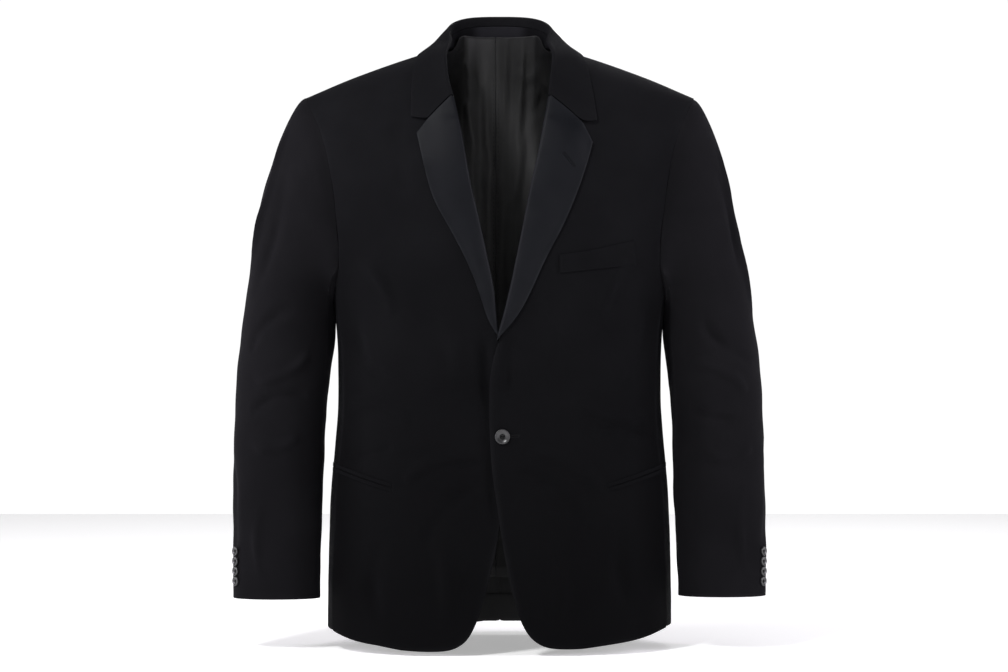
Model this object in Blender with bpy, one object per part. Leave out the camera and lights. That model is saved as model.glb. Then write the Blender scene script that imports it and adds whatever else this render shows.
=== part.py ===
# One-button notch-lapel dinner jacket in the hollow form that it has when worn.
# Metres, +Z up, the front towards -Y. The origin lies between the shoulders, at the neck base.
# "left" is the wearer's left, at +X, and side is +1 there and -1 on the wearer's right.
import bpy
import math
from collections import namedtuple
from mathutils import Vector

for item in list(bpy.data.objects):
    bpy.data.objects.remove(item, do_unlink=True)

# Cloth walls and the gaps between them
CLOTH = 0.0020
FACING = 0.0016
LINING = 0.0010
WELT = 0.0012
SEAM_INSET = 0.00018
SLEEVE_INSET = 0.00050
SLEEVE_CLOTH = 0.0016
LAY_GAP = 0.0004
ROLL_GAP = 0.0009
TAIL_EASE = 0.0007

# The body's form: level sections below the chest, and a shoulder that closes over above it
CHEST_Z = -0.220
BODY_SQUARENESS = 2.6
SHOULDER_SQUARENESS = 2.2
Section = namedtuple("Section", "z half_width front back")
BODY = (
    Section(-0.760, 0.2165, 0.1300, 0.1290),
    Section(-0.690, 0.2163, 0.1295, 0.1285),
    Section(-0.620, 0.2150, 0.1280, 0.1250),
    Section(-0.550, 0.2125, 0.1240, 0.1160),
    Section(-0.490, 0.2072, 0.1195, 0.1060),
    Section(-0.430, 0.2030, 0.1170, 0.1010),
    Section(-0.380, 0.2034, 0.1195, 0.1040),
    Section(-0.320, 0.2072, 0.1250, 0.1130),
    Section(-0.270, 0.2125, 0.1285, 0.1210),
    Section(-0.220, 0.2195, 0.1280, 0.1250),
)
SHOULDER_WIDENING = 0.036
Ridge = namedtuple("Ridge", "x z")
SHOULDER_LINE = (
    Ridge(0.000, 0.063),
    Ridge(0.030, 0.052),
    Ridge(0.060, 0.022),
    Ridge(0.080, 0.009),
    Ridge(0.120, -0.005),
    Ridge(0.156, -0.0178),
    Ridge(0.190, -0.0305),
    Ridge(0.245, -0.054),
    Ridge(0.270, -0.064),
)
SHOULDER_POINT_X = 0.245
NECK_SIDE_X = 0.079
NECK_BACK_Y = 0.067

# Armholes: an arch in the front and back views above the chest, a round bottom below it
Arch = namedtuple("Arch", "z x")
ARMHOLE = (
    Arch(-0.230, 0.2000),
    Arch(-0.202, 0.2016),
    Arch(-0.159, 0.2077),
    Arch(-0.119, 0.2150),
    Arch(-0.0895, 0.2265),
    Arch(-0.067, 0.2375),
    Arch(-0.050, 0.2455),
)
ARMHOLE_HALF_WIDTH = 0.0705
ARMHOLE_DROP = 0.086
ARMHOLE_BOTTOM_ROUND = 2.5
SIDE_PANEL_HALF_TOP = 0.047

# Front edges: the roll line down to the break, then the cutaway; x counts towards the panel's own side
Edge = namedtuple("Edge", "z left right")
FRONT_EDGE = (
    Edge(-0.745, 0.0700, 0.0700),
    Edge(-0.6984, 0.0256, 0.0270),
    Edge(-0.6516, 0.0129, 0.0135),
    Edge(-0.600, 0.0030, 0.0015),
    Edge(-0.5715, -0.0009, -0.0025),
    Edge(-0.5035, -0.0102, -0.0108),
    Edge(-0.4307, -0.0126, -0.0130),
    Edge(-0.3991, -0.0114, -0.0100),
    Edge(-0.3640, -0.0035, 0.0000),
    Edge(-0.3287, 0.0060, 0.0056),
    Edge(-0.2994, 0.0140, 0.0082),
    Edge(-0.2588, 0.0225, 0.0165),
    Edge(-0.2057, 0.0332, 0.0280),
    Edge(-0.1631, 0.0415, 0.0380),
    Edge(-0.1310, 0.0490, 0.0435),
    Edge(-0.0883, 0.0570, 0.0515),
    Edge(-0.0586, 0.0625, 0.0585),
    Edge(-0.0306, 0.0670, 0.0660),
    Edge(-0.0100, 0.0725, 0.0720),
    Edge(0.0150, 0.0760, 0.0760),
)
ROLL_OVERHANG = 0.0040
OVERLAP_LIFT = 0.0026
OVERLAP_END_X = 0.018
OVERLAP_FADE_X = 0.085
OVERLAP_TOP_Z = -0.335
OVERLAP_FADE_Z = 0.075
Hem = namedtuple("Hem", "x z")
FRONT_HEM = (
    Hem(0.0256, -0.6984),
    Hem(0.0310, -0.7115),
    Hem(0.0394, -0.7226),
    Hem(0.0500, -0.7300),
    Hem(0.0635, -0.7332),
    Hem(0.0900, -0.7336),
    Hem(0.1270, -0.7316),
    Hem(0.1690, -0.7290),
    Hem(0.1940, -0.7235),
    Hem(0.2100, -0.7190),
    Hem(0.2200, -0.7180),
)
BACK_HEM_Z = -0.7250
SIDE_HEM_Z = -0.7185

# Sleeves: rings from the biceps down, and how each quarter of the head springs from the armhole
Ring = namedtuple("Ring", "z outer inner centre_y half_depth hind_seam fore_seam")
SLEEVE = (
    Ring(-0.334, 0.3215, 0.2088, 0.000, 0.0640, -58, 150),
    Ring(-0.370, 0.3262, 0.2092, -0.001, 0.0620, -54, 152),
    Ring(-0.408, 0.3298, 0.2136, -0.003, 0.0595, -50, 154),
    Ring(-0.459, 0.3322, 0.2180, -0.007, 0.0555, -44, 157),
    Ring(-0.510, 0.3338, 0.2196, -0.013, 0.0505, -36, 160),
    Ring(-0.560, 0.3340, 0.2208, -0.021, 0.0450, -28, 163),
    Ring(-0.610, 0.3332, 0.2218, -0.031, 0.0390, -20, 166),
    Ring(-0.645, 0.3322, 0.2220, -0.039, 0.0350, -14, 169),
    Ring(-0.6775, 0.3312, 0.2218, -0.046, 0.0325, -10, 171),
)
SLEEVE_SQUARENESS = 2.15
SLEEVE_ROWS_BELOW = 12
HEAD_STEPS = (0.0, 0.10, 0.24, 0.42, 0.62, 0.82, 1.0)
Spring = namedtuple("Spring", "angle dx dy dz start end end_dx")
SLEEVE_HEAD = (
    Spring(0, 1.00, 0.00, 0.08, 0.060, 0.53, -0.12),
    Spring(90, 0.92, -0.32, -0.22, 0.20, 0.45, -0.05),
    Spring(180, 0.30, 0.00, -0.95, 0.30, 0.35, 0.00),
    Spring(270, 0.92, 0.32, -0.22, 0.20, 0.45, -0.05),
)

# Largest folds, as soft ridges or troughs on the form: middle, direction, length, width, height
Fold = namedtuple("Fold", "x z slope_x slope_z length width height")
FRONT_FOLDS = (
    Fold(0.075, -0.445, 1.0, 0.35, 0.150, 0.020, 0.0022),
    Fold(0.070, -0.505, 1.0, -0.45, 0.130, 0.022, 0.0018),
    Fold(0.150, -0.400, 0.8, 0.60, 0.120, 0.020, -0.0018),
    Fold(0.120, -0.630, 0.7, 0.70, 0.150, 0.028, 0.0024),
    Fold(0.165, -0.300, 0.3, 1.00, 0.120, 0.020, -0.0022),
)
BACK_FOLDS = (
    Fold(0.060, -0.420, 1.0, 0.20, 0.160, 0.022, -0.0022),
    Fold(0.130, -0.360, 0.5, 0.90, 0.150, 0.022, 0.0024),
    Fold(0.150, -0.600, 0.2, 1.00, 0.200, 0.030, -0.0022),
)
SLEEVE_FOLDS = (
    Fold(20, -0.160, 0.0, 1.00, 0.120, 16, 0.0030),
    Fold(70, -0.250, 0.0, 1.00, 0.130, 20, -0.0025),
    Fold(95, -0.440, 60.0, 0.05, 60.0, 0.020, -0.0030),
    Fold(60, -0.500, 60.0, -0.04, 60.0, 0.020, -0.0024),
    Fold(250, -0.400, 60.0, 0.04, 60.0, 0.020, -0.0028),
    Fold(240, -0.470, 60.0, -0.04, 60.0, 0.020, 0.0026),
)

# Lapels: outer edge from the notch down to the break, x towards the lapel's own side
LAPEL_LEFT_EDGE = (
    Arch(-0.3500, 0.0050),
    Arch(-0.3305, 0.0196),
    Arch(-0.3050, 0.0350),
    Arch(-0.2536, 0.0588),
    Arch(-0.2177, 0.0778),
    Arch(-0.1627, 0.1001),
    Arch(-0.1149, 0.1142),
)
LAPEL_RIGHT_EDGE = (
    Arch(-0.3420, 0.0102),
    Arch(-0.3134, 0.0197),
    Arch(-0.2724, 0.0350),
    Arch(-0.2332, 0.0540),
    Arch(-0.1832, 0.0813),
    Arch(-0.1627, 0.0873),
    Arch(-0.1055, 0.1007),
)
Notch = namedtuple("Notch", "x z")
GORGE_TOP_Z = -0.0590
NOTCH_LEFT = Notch(0.1022, -0.0933)
NOTCH_RIGHT = Notch(0.0888, -0.0905)
LAPEL_BULGE = 0.0022
LAPEL_TAIL = 0.009
LAPEL_ROWS = 15

# Collar: fold and leaf edge from the middle of the back to the gorge, in the wearer's left half
Collar = namedtuple("Collar", "fold_x fold_y fold_z edge_x edge_y edge_z tail_x tail_y tail_z off")
COLLAR = (
    Collar(0.0000, 0.0690, 0.0575, 0.0000, 0.0790, 0.0160, 0.0000, 0.0660, 0.0325, None),
    Collar(0.0230, 0.0665, 0.0570, 0.0300, 0.0780, 0.0140, 0.0235, 0.0620, 0.0310, None),
    Collar(0.0420, 0.0570, 0.0545, 0.0560, 0.0690, 0.0070, 0.0455, 0.0525, 0.0272, None),
    Collar(0.0560, 0.0410, 0.0485, 0.0780, 0.0510, 0.0000, 0.0610, 0.0400, 0.0215, None),
    Collar(0.0635, 0.0220, 0.0395, 0.0920, 0.0280, 0.0020, 0.0695, 0.0240, 0.0165, None),
    Collar(0.0665, 0.0000, 0.0290, 0.0975, 0.0020, 0.0030, 0.0725, 0.0000, 0.0130, None),
    Collar(0.0672, -0.0240, 0.0165, 0.1010, -0.0220, -0.0030, 0.0705, -0.0250, 0.0035, None),
    Collar(0.0665, -0.0500, 0.0020, 0.1030, -0.0420, -0.0150, 0.0700, -0.0470, -0.0130, 0.0030),
    Collar(0.0645, -0.0750, -0.0190, 0.1050, -0.0600, -0.0330, 0.0700, -0.0680, -0.0300, 0.0016),
    Collar(0.0615, -0.0900, -0.0390, 0.1070, -0.0740, -0.0540, 0.0690, -0.0840, -0.0450, 0.0002),
)
CORNER_LEFT = Notch(0.1197, -0.0868)
CORNER_RIGHT = Notch(0.1080, -0.0840)
COLLAR_STATIONS = 15
STAND_SPLIT = 0.45

# Pockets and buttons
Corner = namedtuple("Corner", "x z")
WELT_TOP = (Corner(0.0732, -0.2542), Corner(0.1105, -0.2490), Corner(0.1645, -0.2363))
WELT_BOTTOM = (Corner(0.0732, -0.2765), Corner(0.1105, -0.2725), Corner(0.1678, -0.2656))
POCKET_LINE = (Corner(0.1315, -0.5385), Corner(0.1604, -0.5300), Corner(0.1839, -0.5225), Corner(0.2060, -0.5155))
POCKET_GAP = 0.0006
JET_WIDTH = 0.0050
FRONT_BUTTON = Corner(0.0037, -0.4756)
FRONT_BUTTON_DIAMETER = 0.0182
CUFF_BUTTON_TOP_Z = -0.6198
CUFF_BUTTON_PITCH = 0.0122
CUFF_BUTTON_DIAMETER = 0.0115
CUFF_BUTTON_ANGLE = 28
BUTTON_SEAT = 0.0002
CUFF_BUTTON_SEAT = 0.0002

# Lining of the back, with the hem turned up below it
TURN_UP_TOP_Z = -0.6892
LINING_PLEAT = 0.0030


def blend_table(rows, key, name, at):
    # A smooth curve through a table's rows, which run along key
    keys = [getattr(row, key) for row in rows]
    values = [getattr(row, name) for row in rows]
    if keys[0] > keys[-1]:
        keys.reverse()
        values.reverse()
    if at <= keys[0]:
        return values[0]
    if at >= keys[-1]:
        return values[-1]
    i = max(j for j in range(len(keys) - 1) if keys[j] <= at)
    span = keys[i + 1] - keys[i]

    def slope(j):
        if j == 0:
            return (values[1] - values[0]) / (keys[1] - keys[0])
        if j == len(keys) - 1:
            return (values[-1] - values[-2]) / (keys[-1] - keys[-2])
        before = (values[j] - values[j - 1]) / (keys[j] - keys[j - 1])
        after = (values[j + 1] - values[j]) / (keys[j + 1] - keys[j])
        if before * after <= 0:
            return 0.0
        return 2 * before * after / (before + after)

    t = (at - keys[i]) / span
    a = (1 + 2 * t) * (1 - t) ** 2 * values[i] + t * t * (3 - 2 * t) * values[i + 1]
    return a + span * (t * (1 - t) ** 2 * slope(i) - t * t * (1 - t) * slope(i + 1))


def mix(a, b, t):
    return a + (b - a) * t


def ease(t):
    t = min(max(t, 0.0), 1.0)
    return t * t * (3 - 2 * t)


def power(value, exponent):
    return math.copysign(abs(value) ** exponent, value)


def fold_height(folds, x, z):
    # Each fold is a bump across its width that dies away along its length
    total = 0.0
    for fold in folds:
        size = math.hypot(fold.slope_x, fold.slope_z)
        ux, uz = fold.slope_x / size, fold.slope_z / size
        along = ((x - fold.x) * ux + (z - fold.z) * uz) / (fold.length / 2)
        across = ((x - fold.x) * -uz + (z - fold.z) * ux) / fold.width
        total += fold.height * math.exp(-along * along - across * across)
    return total


# The body's form. A level at or under 0 is a height below the chest, in metres;
# one from 0 to 1 is the way up from the chest to the shoulder line.
def rise(level):
    return math.sin(min(level, 1.0) * math.pi / 2) ** (2 / SHOULDER_SQUARENESS) if level > 0 else 0.0


def half_width(level):
    if level <= 0:
        return blend_table(BODY, "z", "half_width", CHEST_Z + level)
    return BODY[-1].half_width + SHOULDER_WIDENING * rise(level)


def height(x, level):
    if level <= 0:
        return CHEST_Z + level
    return CHEST_Z + (blend_table(SHOULDER_LINE, "x", "z", abs(x)) - CHEST_Z) * rise(level)


def smooth_body(side, angle, level):
    c, s = math.cos(angle), math.sin(angle)
    x = half_width(level) * power(c, 2 / BODY_SQUARENESS)
    depth = blend_table(BODY, "z", "front" if s < 0 else "back", min(CHEST_Z + level, CHEST_Z))
    if level > 0:
        depth *= max(math.cos(min(level, 1.0) * math.pi / 2), 0.0) ** (2 / SHOULDER_SQUARENESS)
    return Vector((side * x, depth * power(s, 2 / BODY_SQUARENESS), height(x, level)))


def body_normal(side, angle, level):
    step = 0.004
    low, high = level - step, level + step
    if high > 0.995:
        low, high = 0.975, 0.995
    up = smooth_body(side, angle, high) - smooth_body(side, angle, low)
    round_it = smooth_body(side, angle + step, level) - smooth_body(side, angle - step, level)
    if level >= 0.999:
        near = min(level, 0.97)
        round_it = smooth_body(side, angle + step, near) - smooth_body(side, angle - step, near)
        up = Vector((0, -math.copysign(1, math.sin(angle)), 0))
    return (round_it.cross(up) * side).normalized()


def body(side, angle, level, offset=0.0, lift=True):
    # A point on the outside of the body cloth, moved out by offset, and the direction out
    point = smooth_body(side, angle, level)
    normal = body_normal(side, angle, level)
    x, z = side * point.x, point.z
    folds = FRONT_FOLDS if math.sin(angle) < 0 else BACK_FOLDS
    fade = ease((0.97 - level) / 0.3) * ease(abs(math.sin(angle)) / 0.25)
    offset += fold_height(folds, x, z) * fade
    if lift and side > 0 and math.sin(angle) < 0:
        near = 1 - ease((x - OVERLAP_END_X) / (OVERLAP_FADE_X - OVERLAP_END_X))
        offset += OVERLAP_LIFT * near * (1 - ease((z - OVERLAP_TOP_Z) / OVERLAP_FADE_Z))
    return point + normal * offset, normal


def front_angle(x, level):
    # The angle at which the front of a section is x to its own side
    share = min(abs(x) / half_width(level), 1.0) ** (BODY_SQUARENESS / 2)
    return -math.acos(share) if x >= 0 else -math.pi + math.acos(share)


def level_at(x, z):
    # The level of a point of the form from its front or back view
    if z <= CHEST_Z:
        return z - CHEST_Z
    share = (z - CHEST_Z) / (blend_table(SHOULDER_LINE, "x", "z", abs(x)) - CHEST_Z)
    return math.asin(min(share, 1.0) ** (SHOULDER_SQUARENESS / 2)) / (math.pi / 2)


def on_front(side, x, z, offset=0.0, lift=True):
    level = level_at(x, z)
    return body(side, front_angle(x, level), level, offset, lift)


def edge_x(side, z):
    return blend_table(FRONT_EDGE, "z", "left" if side > 0 else "right", z)


def panel_edge_x(side, z):
    # The cloth's own edge lies inside the roll of the lapel, down to where the lapel ends
    end = LAPEL_LEFT_EDGE[0].z if side > 0 else LAPEL_RIGHT_EDGE[0].z
    return edge_x(side, z) + ROLL_OVERHANG * ease((z - end + 0.006) / 0.006)


def x_on_row(curve, level):
    # The x at which a curve of z crosses a level
    x = 0.1
    for _ in range(12):
        x = curve(height(x, level))
    return x


def armhole_angle(level):
    if level > 0:
        x = x_on_row(lambda z: blend_table(ARMHOLE, "z", "x", z), level)
        if level >= 1.0:
            x = SHOULDER_POINT_X
        return math.acos(min(x / half_width(level), 1.0) ** (BODY_SQUARENESS / 2))
    drop = min(-level / ARMHOLE_DROP, 1.0)
    y = ARMHOLE_HALF_WIDTH * (1 - drop ** ARMHOLE_BOTTOM_ROUND) ** (1 / ARMHOLE_BOTTOM_ROUND)
    return side_angle(y, level)


def side_angle(y, level):
    depth = blend_table(BODY, "z", "front", CHEST_Z + level)
    return math.asin((y / depth) ** (BODY_SQUARENESS / 2))


def armhole_level(y):
    share = min(y / ARMHOLE_HALF_WIDTH, 1.0)
    return -ARMHOLE_DROP * (1 - share ** ARMHOLE_BOTTOM_ROUND) ** (1 / ARMHOLE_BOTTOM_ROUND)


SIDE_TOP_LEVEL = armhole_level(SIDE_PANEL_HALF_TOP)
ARMHOLE_LEVELS = [SIDE_TOP_LEVEL * (1 - i / 3) for i in range(3)] + [i / 7 for i in range(8)]


# Meshes
def material(name, colour, roughness):
    made = bpy.data.materials.new(name)
    made.use_nodes = True
    shader = made.node_tree.nodes["Principled BSDF"]
    shader.inputs["Base Color"].default_value = (*colour, 1)
    shader.inputs["Roughness"].default_value = roughness
    made.diffuse_color = (*colour, 1)
    return made


def place(name, points, faces, colour, roughness):
    mesh = bpy.data.meshes.new(name)
    mesh.from_pydata([tuple(p) for p in points], [], faces)
    mesh.update()
    mesh.polygons.foreach_set("use_smooth", [True] * len(mesh.polygons))
    item = bpy.data.objects.new(name, mesh)
    bpy.context.scene.collection.objects.link(item)
    mesh.materials.append(material(name, colour, roughness))
    return item


def inset(grid, amount=SEAM_INSET):
    # Draws a panel's four edges back from its seams
    rows, cols = len(grid), len(grid[0])
    for r in range(rows):
        for near, nxt in ((0, 1), (cols - 1, cols - 2)):
            point, normal = grid[r][near]
            grid[r][near] = (point + (grid[r][nxt][0] - point).normalized() * amount, normal)
    for c in range(cols):
        for near, nxt in ((0, 1), (rows - 1, rows - 2)):
            point, normal = grid[near][c]
            grid[near][c] = (point + (grid[nxt][c][0] - point).normalized() * amount, normal)
    return grid


def wall(name, grid, thickness, colour, roughness=0.9):
    # A closed sheet of cloth: the grid's points are its outside, and the inside lies a thickness in
    rows, cols = len(grid), len(grid[0])
    outside = [grid[r][c][0] for r in range(rows) for c in range(cols)]
    inside = [grid[r][c][0] - grid[r][c][1] * thickness for r in range(rows) for c in range(cols)]
    count = rows * cols
    faces = []
    for r in range(rows - 1):
        for c in range(cols - 1):
            a, b, d, e = r * cols + c, r * cols + c + 1, (r + 1) * cols + c + 1, (r + 1) * cols + c
            faces.append((a, b, d, e))
            faces.append((count + a, count + e, count + d, count + b))
    ring = [c for c in range(cols)] + [r * cols + cols - 1 for r in range(1, rows)]
    ring += [(rows - 1) * cols + c for c in range(cols - 2, -1, -1)] + [r * cols for r in range(rows - 2, 0, -1)]
    for i, a in enumerate(ring):
        b = ring[(i + 1) % len(ring)]
        faces.append((b, a, count + a, count + b))
    r, c = rows // 2 - 1, cols // 2
    across, along = grid[r][c + 1][0] - grid[r][c][0], grid[r + 1][c][0] - grid[r][c][0]
    if across.cross(along).dot(grid[r][c][1]) < 0:
        faces = [tuple(reversed(face)) for face in faces]
    return place(name, outside + inside, faces, colour, roughness)


WOOL = (0.010, 0.010, 0.012)
SATIN = (0.016, 0.017, 0.021)
LINING_GREY = (0.022, 0.022, 0.024)
BUTTON_GREY = (0.045, 0.045, 0.048)


# Front panels: rows from the hem to the shoulder line, columns from the front edge outwards
def front_panel(side, name):
    columns = 11
    hem_rows, plain_rows = 4, 12
    blend_z = -0.610
    side_z = CHEST_Z + SIDE_TOP_LEVEL
    lower = [mix(blend_z, side_z, i / plain_rows) for i in range(plain_rows)]
    grid = []

    def seam_y(z):
        return mix(SIDE_PANEL_HALF_TOP, 0.055, ease((side_z - z) / 0.3))

    for r in range(hem_rows):
        row = []
        rise_share = r / hem_rows
        for c in range(columns):
            share = c / (columns - 1)
            bunched = mix(share ** 1.5, share, rise_share)
            first = front_angle(FRONT_HEM[0].x, SIDE_HEM_Z - CHEST_Z)
            angle = mix(first, -side_angle(seam_y(-0.72), -0.5), share ** 1.5)
            hem_x = half_width(-0.5) * math.cos(angle) ** (2 / BODY_SQUARENESS)
            z = mix(blend_table(FRONT_HEM, "x", "z", hem_x), blend_z, rise_share)
            if c == 0:
                angle = front_angle(edge_x(side, z), z - CHEST_Z)
            else:
                start = front_angle(edge_x(side, max(z, -0.6984)), z - CHEST_Z)
                angle = mix(start, -side_angle(seam_y(z), z - CHEST_Z), bunched)
            row.append(body(side, angle, z - CHEST_Z))
        grid.append(row)
    for z in lower:
        level = z - CHEST_Z
        start = front_angle(panel_edge_x(side, z), level)
        end = -side_angle(seam_y(z), level)
        grid.append([body(side, mix(start, end, c / (columns - 1)), level) for c in range(columns)])
    for level in ARMHOLE_LEVELS:
        x = x_on_row(lambda z: panel_edge_x(side, z), level)
        if level >= 1.0:
            x = NECK_SIDE_X
        start, end = front_angle(x, level), -armhole_angle(level)
        grid.append([body(side, mix(start, end, c / (columns - 1)), level) for c in range(columns)])
    wall(name, inset(grid), CLOTH, WOOL)


# Side panels: columns round the side, rows from the hem to the bottom of the armhole
def side_panel(side, name):
    columns, rows = 5, 18
    grid = []
    for r in range(rows + 1):
        row = []
        for c in range(columns):
            share = 2 * c / (columns - 1) - 1
            top = armhole_level(SIDE_PANEL_HALF_TOP * abs(share))
            level = mix(SIDE_HEM_Z - CHEST_Z, top, r / rows)
            z = CHEST_Z + level
            top_z = CHEST_Z + SIDE_TOP_LEVEL
            if share < 0:
                y = mix(SIDE_PANEL_HALF_TOP, 0.055, ease((top_z - z) / 0.3))
            else:
                y = mix(SIDE_PANEL_HALF_TOP, 0.060, ease((top_z - z) / 0.3))
            angle = math.copysign(side_angle(y * abs(share), level), share) if share else 0.0
            row.append(body(side, angle, level))
        grid.append(row)
    wall(name, inset(grid), CLOTH, WOOL)


# Back halves: columns from the side seam to the centre seam, rows from the hem to neck and shoulder
def neck_level(x):
    y = NECK_BACK_Y * math.sqrt(max(1 - (x / NECK_SIDE_X) ** 2, 0.0))
    depth = BODY[-1].back * (1 - (x / half_width(1.0)) ** BODY_SQUARENESS) ** (1 / BODY_SQUARENESS)
    return math.acos((y / depth) ** (SHOULDER_SQUARENESS / 2)) / (math.pi / 2)


def back_grid(side, offset=0.0):
    neck_columns, shoulder_columns, lower_rows = 5, 5, 15
    columns = neck_columns + shoulder_columns
    top_x = [NECK_SIDE_X * math.sin(math.pi / 2 * i / neck_columns) for i in range(neck_columns)]
    top_x += [mix(NECK_SIDE_X, SHOULDER_POINT_X, i / shoulder_columns) for i in range(shoulder_columns + 1)]
    top_z = CHEST_Z + SIDE_TOP_LEVEL
    levels = [mix(BACK_HEM_Z - CHEST_Z, SIDE_TOP_LEVEL, i / lower_rows) for i in range(lower_rows)]
    levels += ARMHOLE_LEVELS
    grid = []
    for level in levels:
        row = []
        for c in range(columns, -1, -1):
            end_level = neck_level(top_x[c]) if top_x[c] < NECK_SIDE_X else 1.0
            here = level * end_level if level > 0 else level
            even = c / columns
            if level >= SIDE_TOP_LEVEL:
                end = armhole_angle(level)
            else:
                z = CHEST_Z + level
                end = side_angle(mix(SIDE_PANEL_HALF_TOP, 0.060, ease((top_z - z) / 0.3)), level)
            if level < -0.45:
                here += (SIDE_HEM_Z - BACK_HEM_Z) * ease(even) * (1 - ease((level + 0.505) / 0.05))
            x_end = half_width(level) * math.cos(end) ** (2 / BODY_SQUARENESS)
            even_angle = mix(math.pi / 2, end, even)
            even_x = half_width(level) * math.cos(even_angle) ** (2 / BODY_SQUARENESS)
            x = mix(even_x, top_x[c] * x_end / SHOULDER_POINT_X, ease(level))
            if c == columns:
                angle = end
            else:
                angle = math.acos(min(x / half_width(here), 1.0) ** (BODY_SQUARENESS / 2))
            row.append(body(side, angle, here, offset))
        grid.append(row)
    return grid


def back_panel(side, name):
    wall(name, inset(back_grid(side)), CLOTH, WOOL)


# Sleeves. The armhole's points run from the shoulder point down the front and up the back.
def armhole_loop(side):
    loop = []
    for level in reversed(ARMHOLE_LEVELS):
        loop.append(body(side, -armhole_angle(level), level)[0])
    for share in (-0.5, 0.0, 0.5):
        y = SIDE_PANEL_HALF_TOP * share
        level = armhole_level(abs(y))
        loop.append(body(side, math.copysign(side_angle(abs(y), level), share) if share else 0.0, level)[0])
    for level in ARMHOLE_LEVELS[:-1]:
        loop.append(body(side, armhole_angle(level), level)[0])
    return loop


def spring_at(angle):
    # How the sleeve head leaves the armhole, eased between its four quarters
    quarter = int(angle // 90) % 4
    t = ease((angle % 90) / 90)
    first, second = SLEEVE_HEAD[quarter], SLEEVE_HEAD[(quarter + 1) % 4]
    return Spring(*[mix(a, b, t) for a, b in zip(first, second)])


def ring_point(side, angle, z):
    outer = blend_table(SLEEVE, "z", "outer", z)
    inner = blend_table(SLEEVE, "z", "inner", z)
    depth = blend_table(SLEEVE, "z", "half_depth", z)
    c, s = math.cos(math.radians(angle)), math.sin(math.radians(angle))
    x = (outer + inner) / 2 + (outer - inner) / 2 * power(c, 2 / SLEEVE_SQUARENESS)
    y = blend_table(SLEEVE, "z", "centre_y", z) - depth * power(s, 2 / SLEEVE_SQUARENESS)
    return Vector((side * x, y, z))


def sleeve_angle(k, count, hind_k, fore_k, z):
    # The angle of column k on a ring: the seams have their own angles, the rest are spread between
    hind = blend_table(SLEEVE, "z", "hind_seam", z)
    fore = blend_table(SLEEVE, "z", "fore_seam", z)
    if k <= fore_k:
        return mix(hind, fore, (k + count - hind_k) / (fore_k + count - hind_k))
    if k >= hind_k:
        return mix(hind, fore, (k - hind_k) / (fore_k + count - hind_k))
    return mix(fore, hind + 360, (k - fore_k) / (hind_k - fore_k))


def sleeve_grid(side):
    loop = armhole_loop(side)
    count = len(loop)
    hind_k, fore_k = count - 5, 9
    top_z, cuff_z = SLEEVE[0].z, SLEEVE[-1].z
    rows = []
    for t in HEAD_STEPS:
        row = []
        for k, start in enumerate(loop):
            angle = sleeve_angle(k, count, hind_k, fore_k, top_z)
            end = ring_point(side, angle, top_z)
            spring = spring_at(360 * k / count)
            span = (end - start).length
            way = Vector((side * spring.dx, spring.dy, spring.dz)).normalized()
            lift = Vector((side * spring.end_dx, 0, 1)).normalized()
            b, c = start + way * span * spring.start, end + lift * span * spring.end
            row.append((1 - t) ** 3 * start + 3 * t * (1 - t) ** 2 * b + 3 * t * t * (1 - t) * c + t ** 3 * end)
        rows.append(row)
    for r in range(1, SLEEVE_ROWS_BELOW + 1):
        z = mix(top_z, cuff_z, r / SLEEVE_ROWS_BELOW)
        rows.append([ring_point(side, sleeve_angle(k, count, hind_k, fore_k, z), z) for k in range(count)])
    grid = []
    for r, row in enumerate(rows):
        out = []
        for k, point in enumerate(row):
            round_it = row[(k + 1) % count] - row[k - 1]
            down = rows[min(r + 1, len(rows) - 1)][k] - rows[max(r - 1, 0)][k]
            normal = (round_it.cross(down) * side).normalized()
            angle = sleeve_angle(k, count, hind_k, fore_k, point.z) % 360
            fade = ease(r / 3) * ease((point.z - cuff_z) / 0.05)
            out.append((point + normal * fold_height(SLEEVE_FOLDS, angle, point.z) * fade, normal))
        grid.append(out)
    top_columns = list(range(hind_k, count)) + list(range(fore_k + 1))
    under_columns = list(range(fore_k, hind_k + 1))
    return grid, top_columns, under_columns


def sleeves(side, word):
    grid, top_columns, under_columns = sleeve_grid(side)
    top = [[row[k] for k in top_columns] for row in grid]
    under = [[row[k] for k in under_columns] for row in grid]
    wall("sleeve_top_" + word, inset(top, SLEEVE_INSET), SLEEVE_CLOTH, WOOL)
    wall("sleeve_under_" + word, inset(under, SLEEVE_INSET), SLEEVE_CLOTH, WOOL)


# A sheet that wraps a cloth edge: its tail lies inside, it rolls round the edge and lies on the outside
ROLL_RADIUS = (CLOTH + 2 * ROLL_GAP + 2 * FACING) / 2


def wrap(edge, out, across, tail, steps=4):
    # Points and outward normals of a roll round an edge point of the cloth's outside
    middle = edge - out * (CLOTH / 2)
    points = [(middle - out * (ROLL_RADIUS + TAIL_EASE) + across * tail, -out)]
    for i in range(steps + 1):
        turn = math.pi * i / steps
        normal = -out * math.cos(turn) - across * math.sin(turn)
        points.append((middle + normal * ROLL_RADIUS, normal))
    return points


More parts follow.
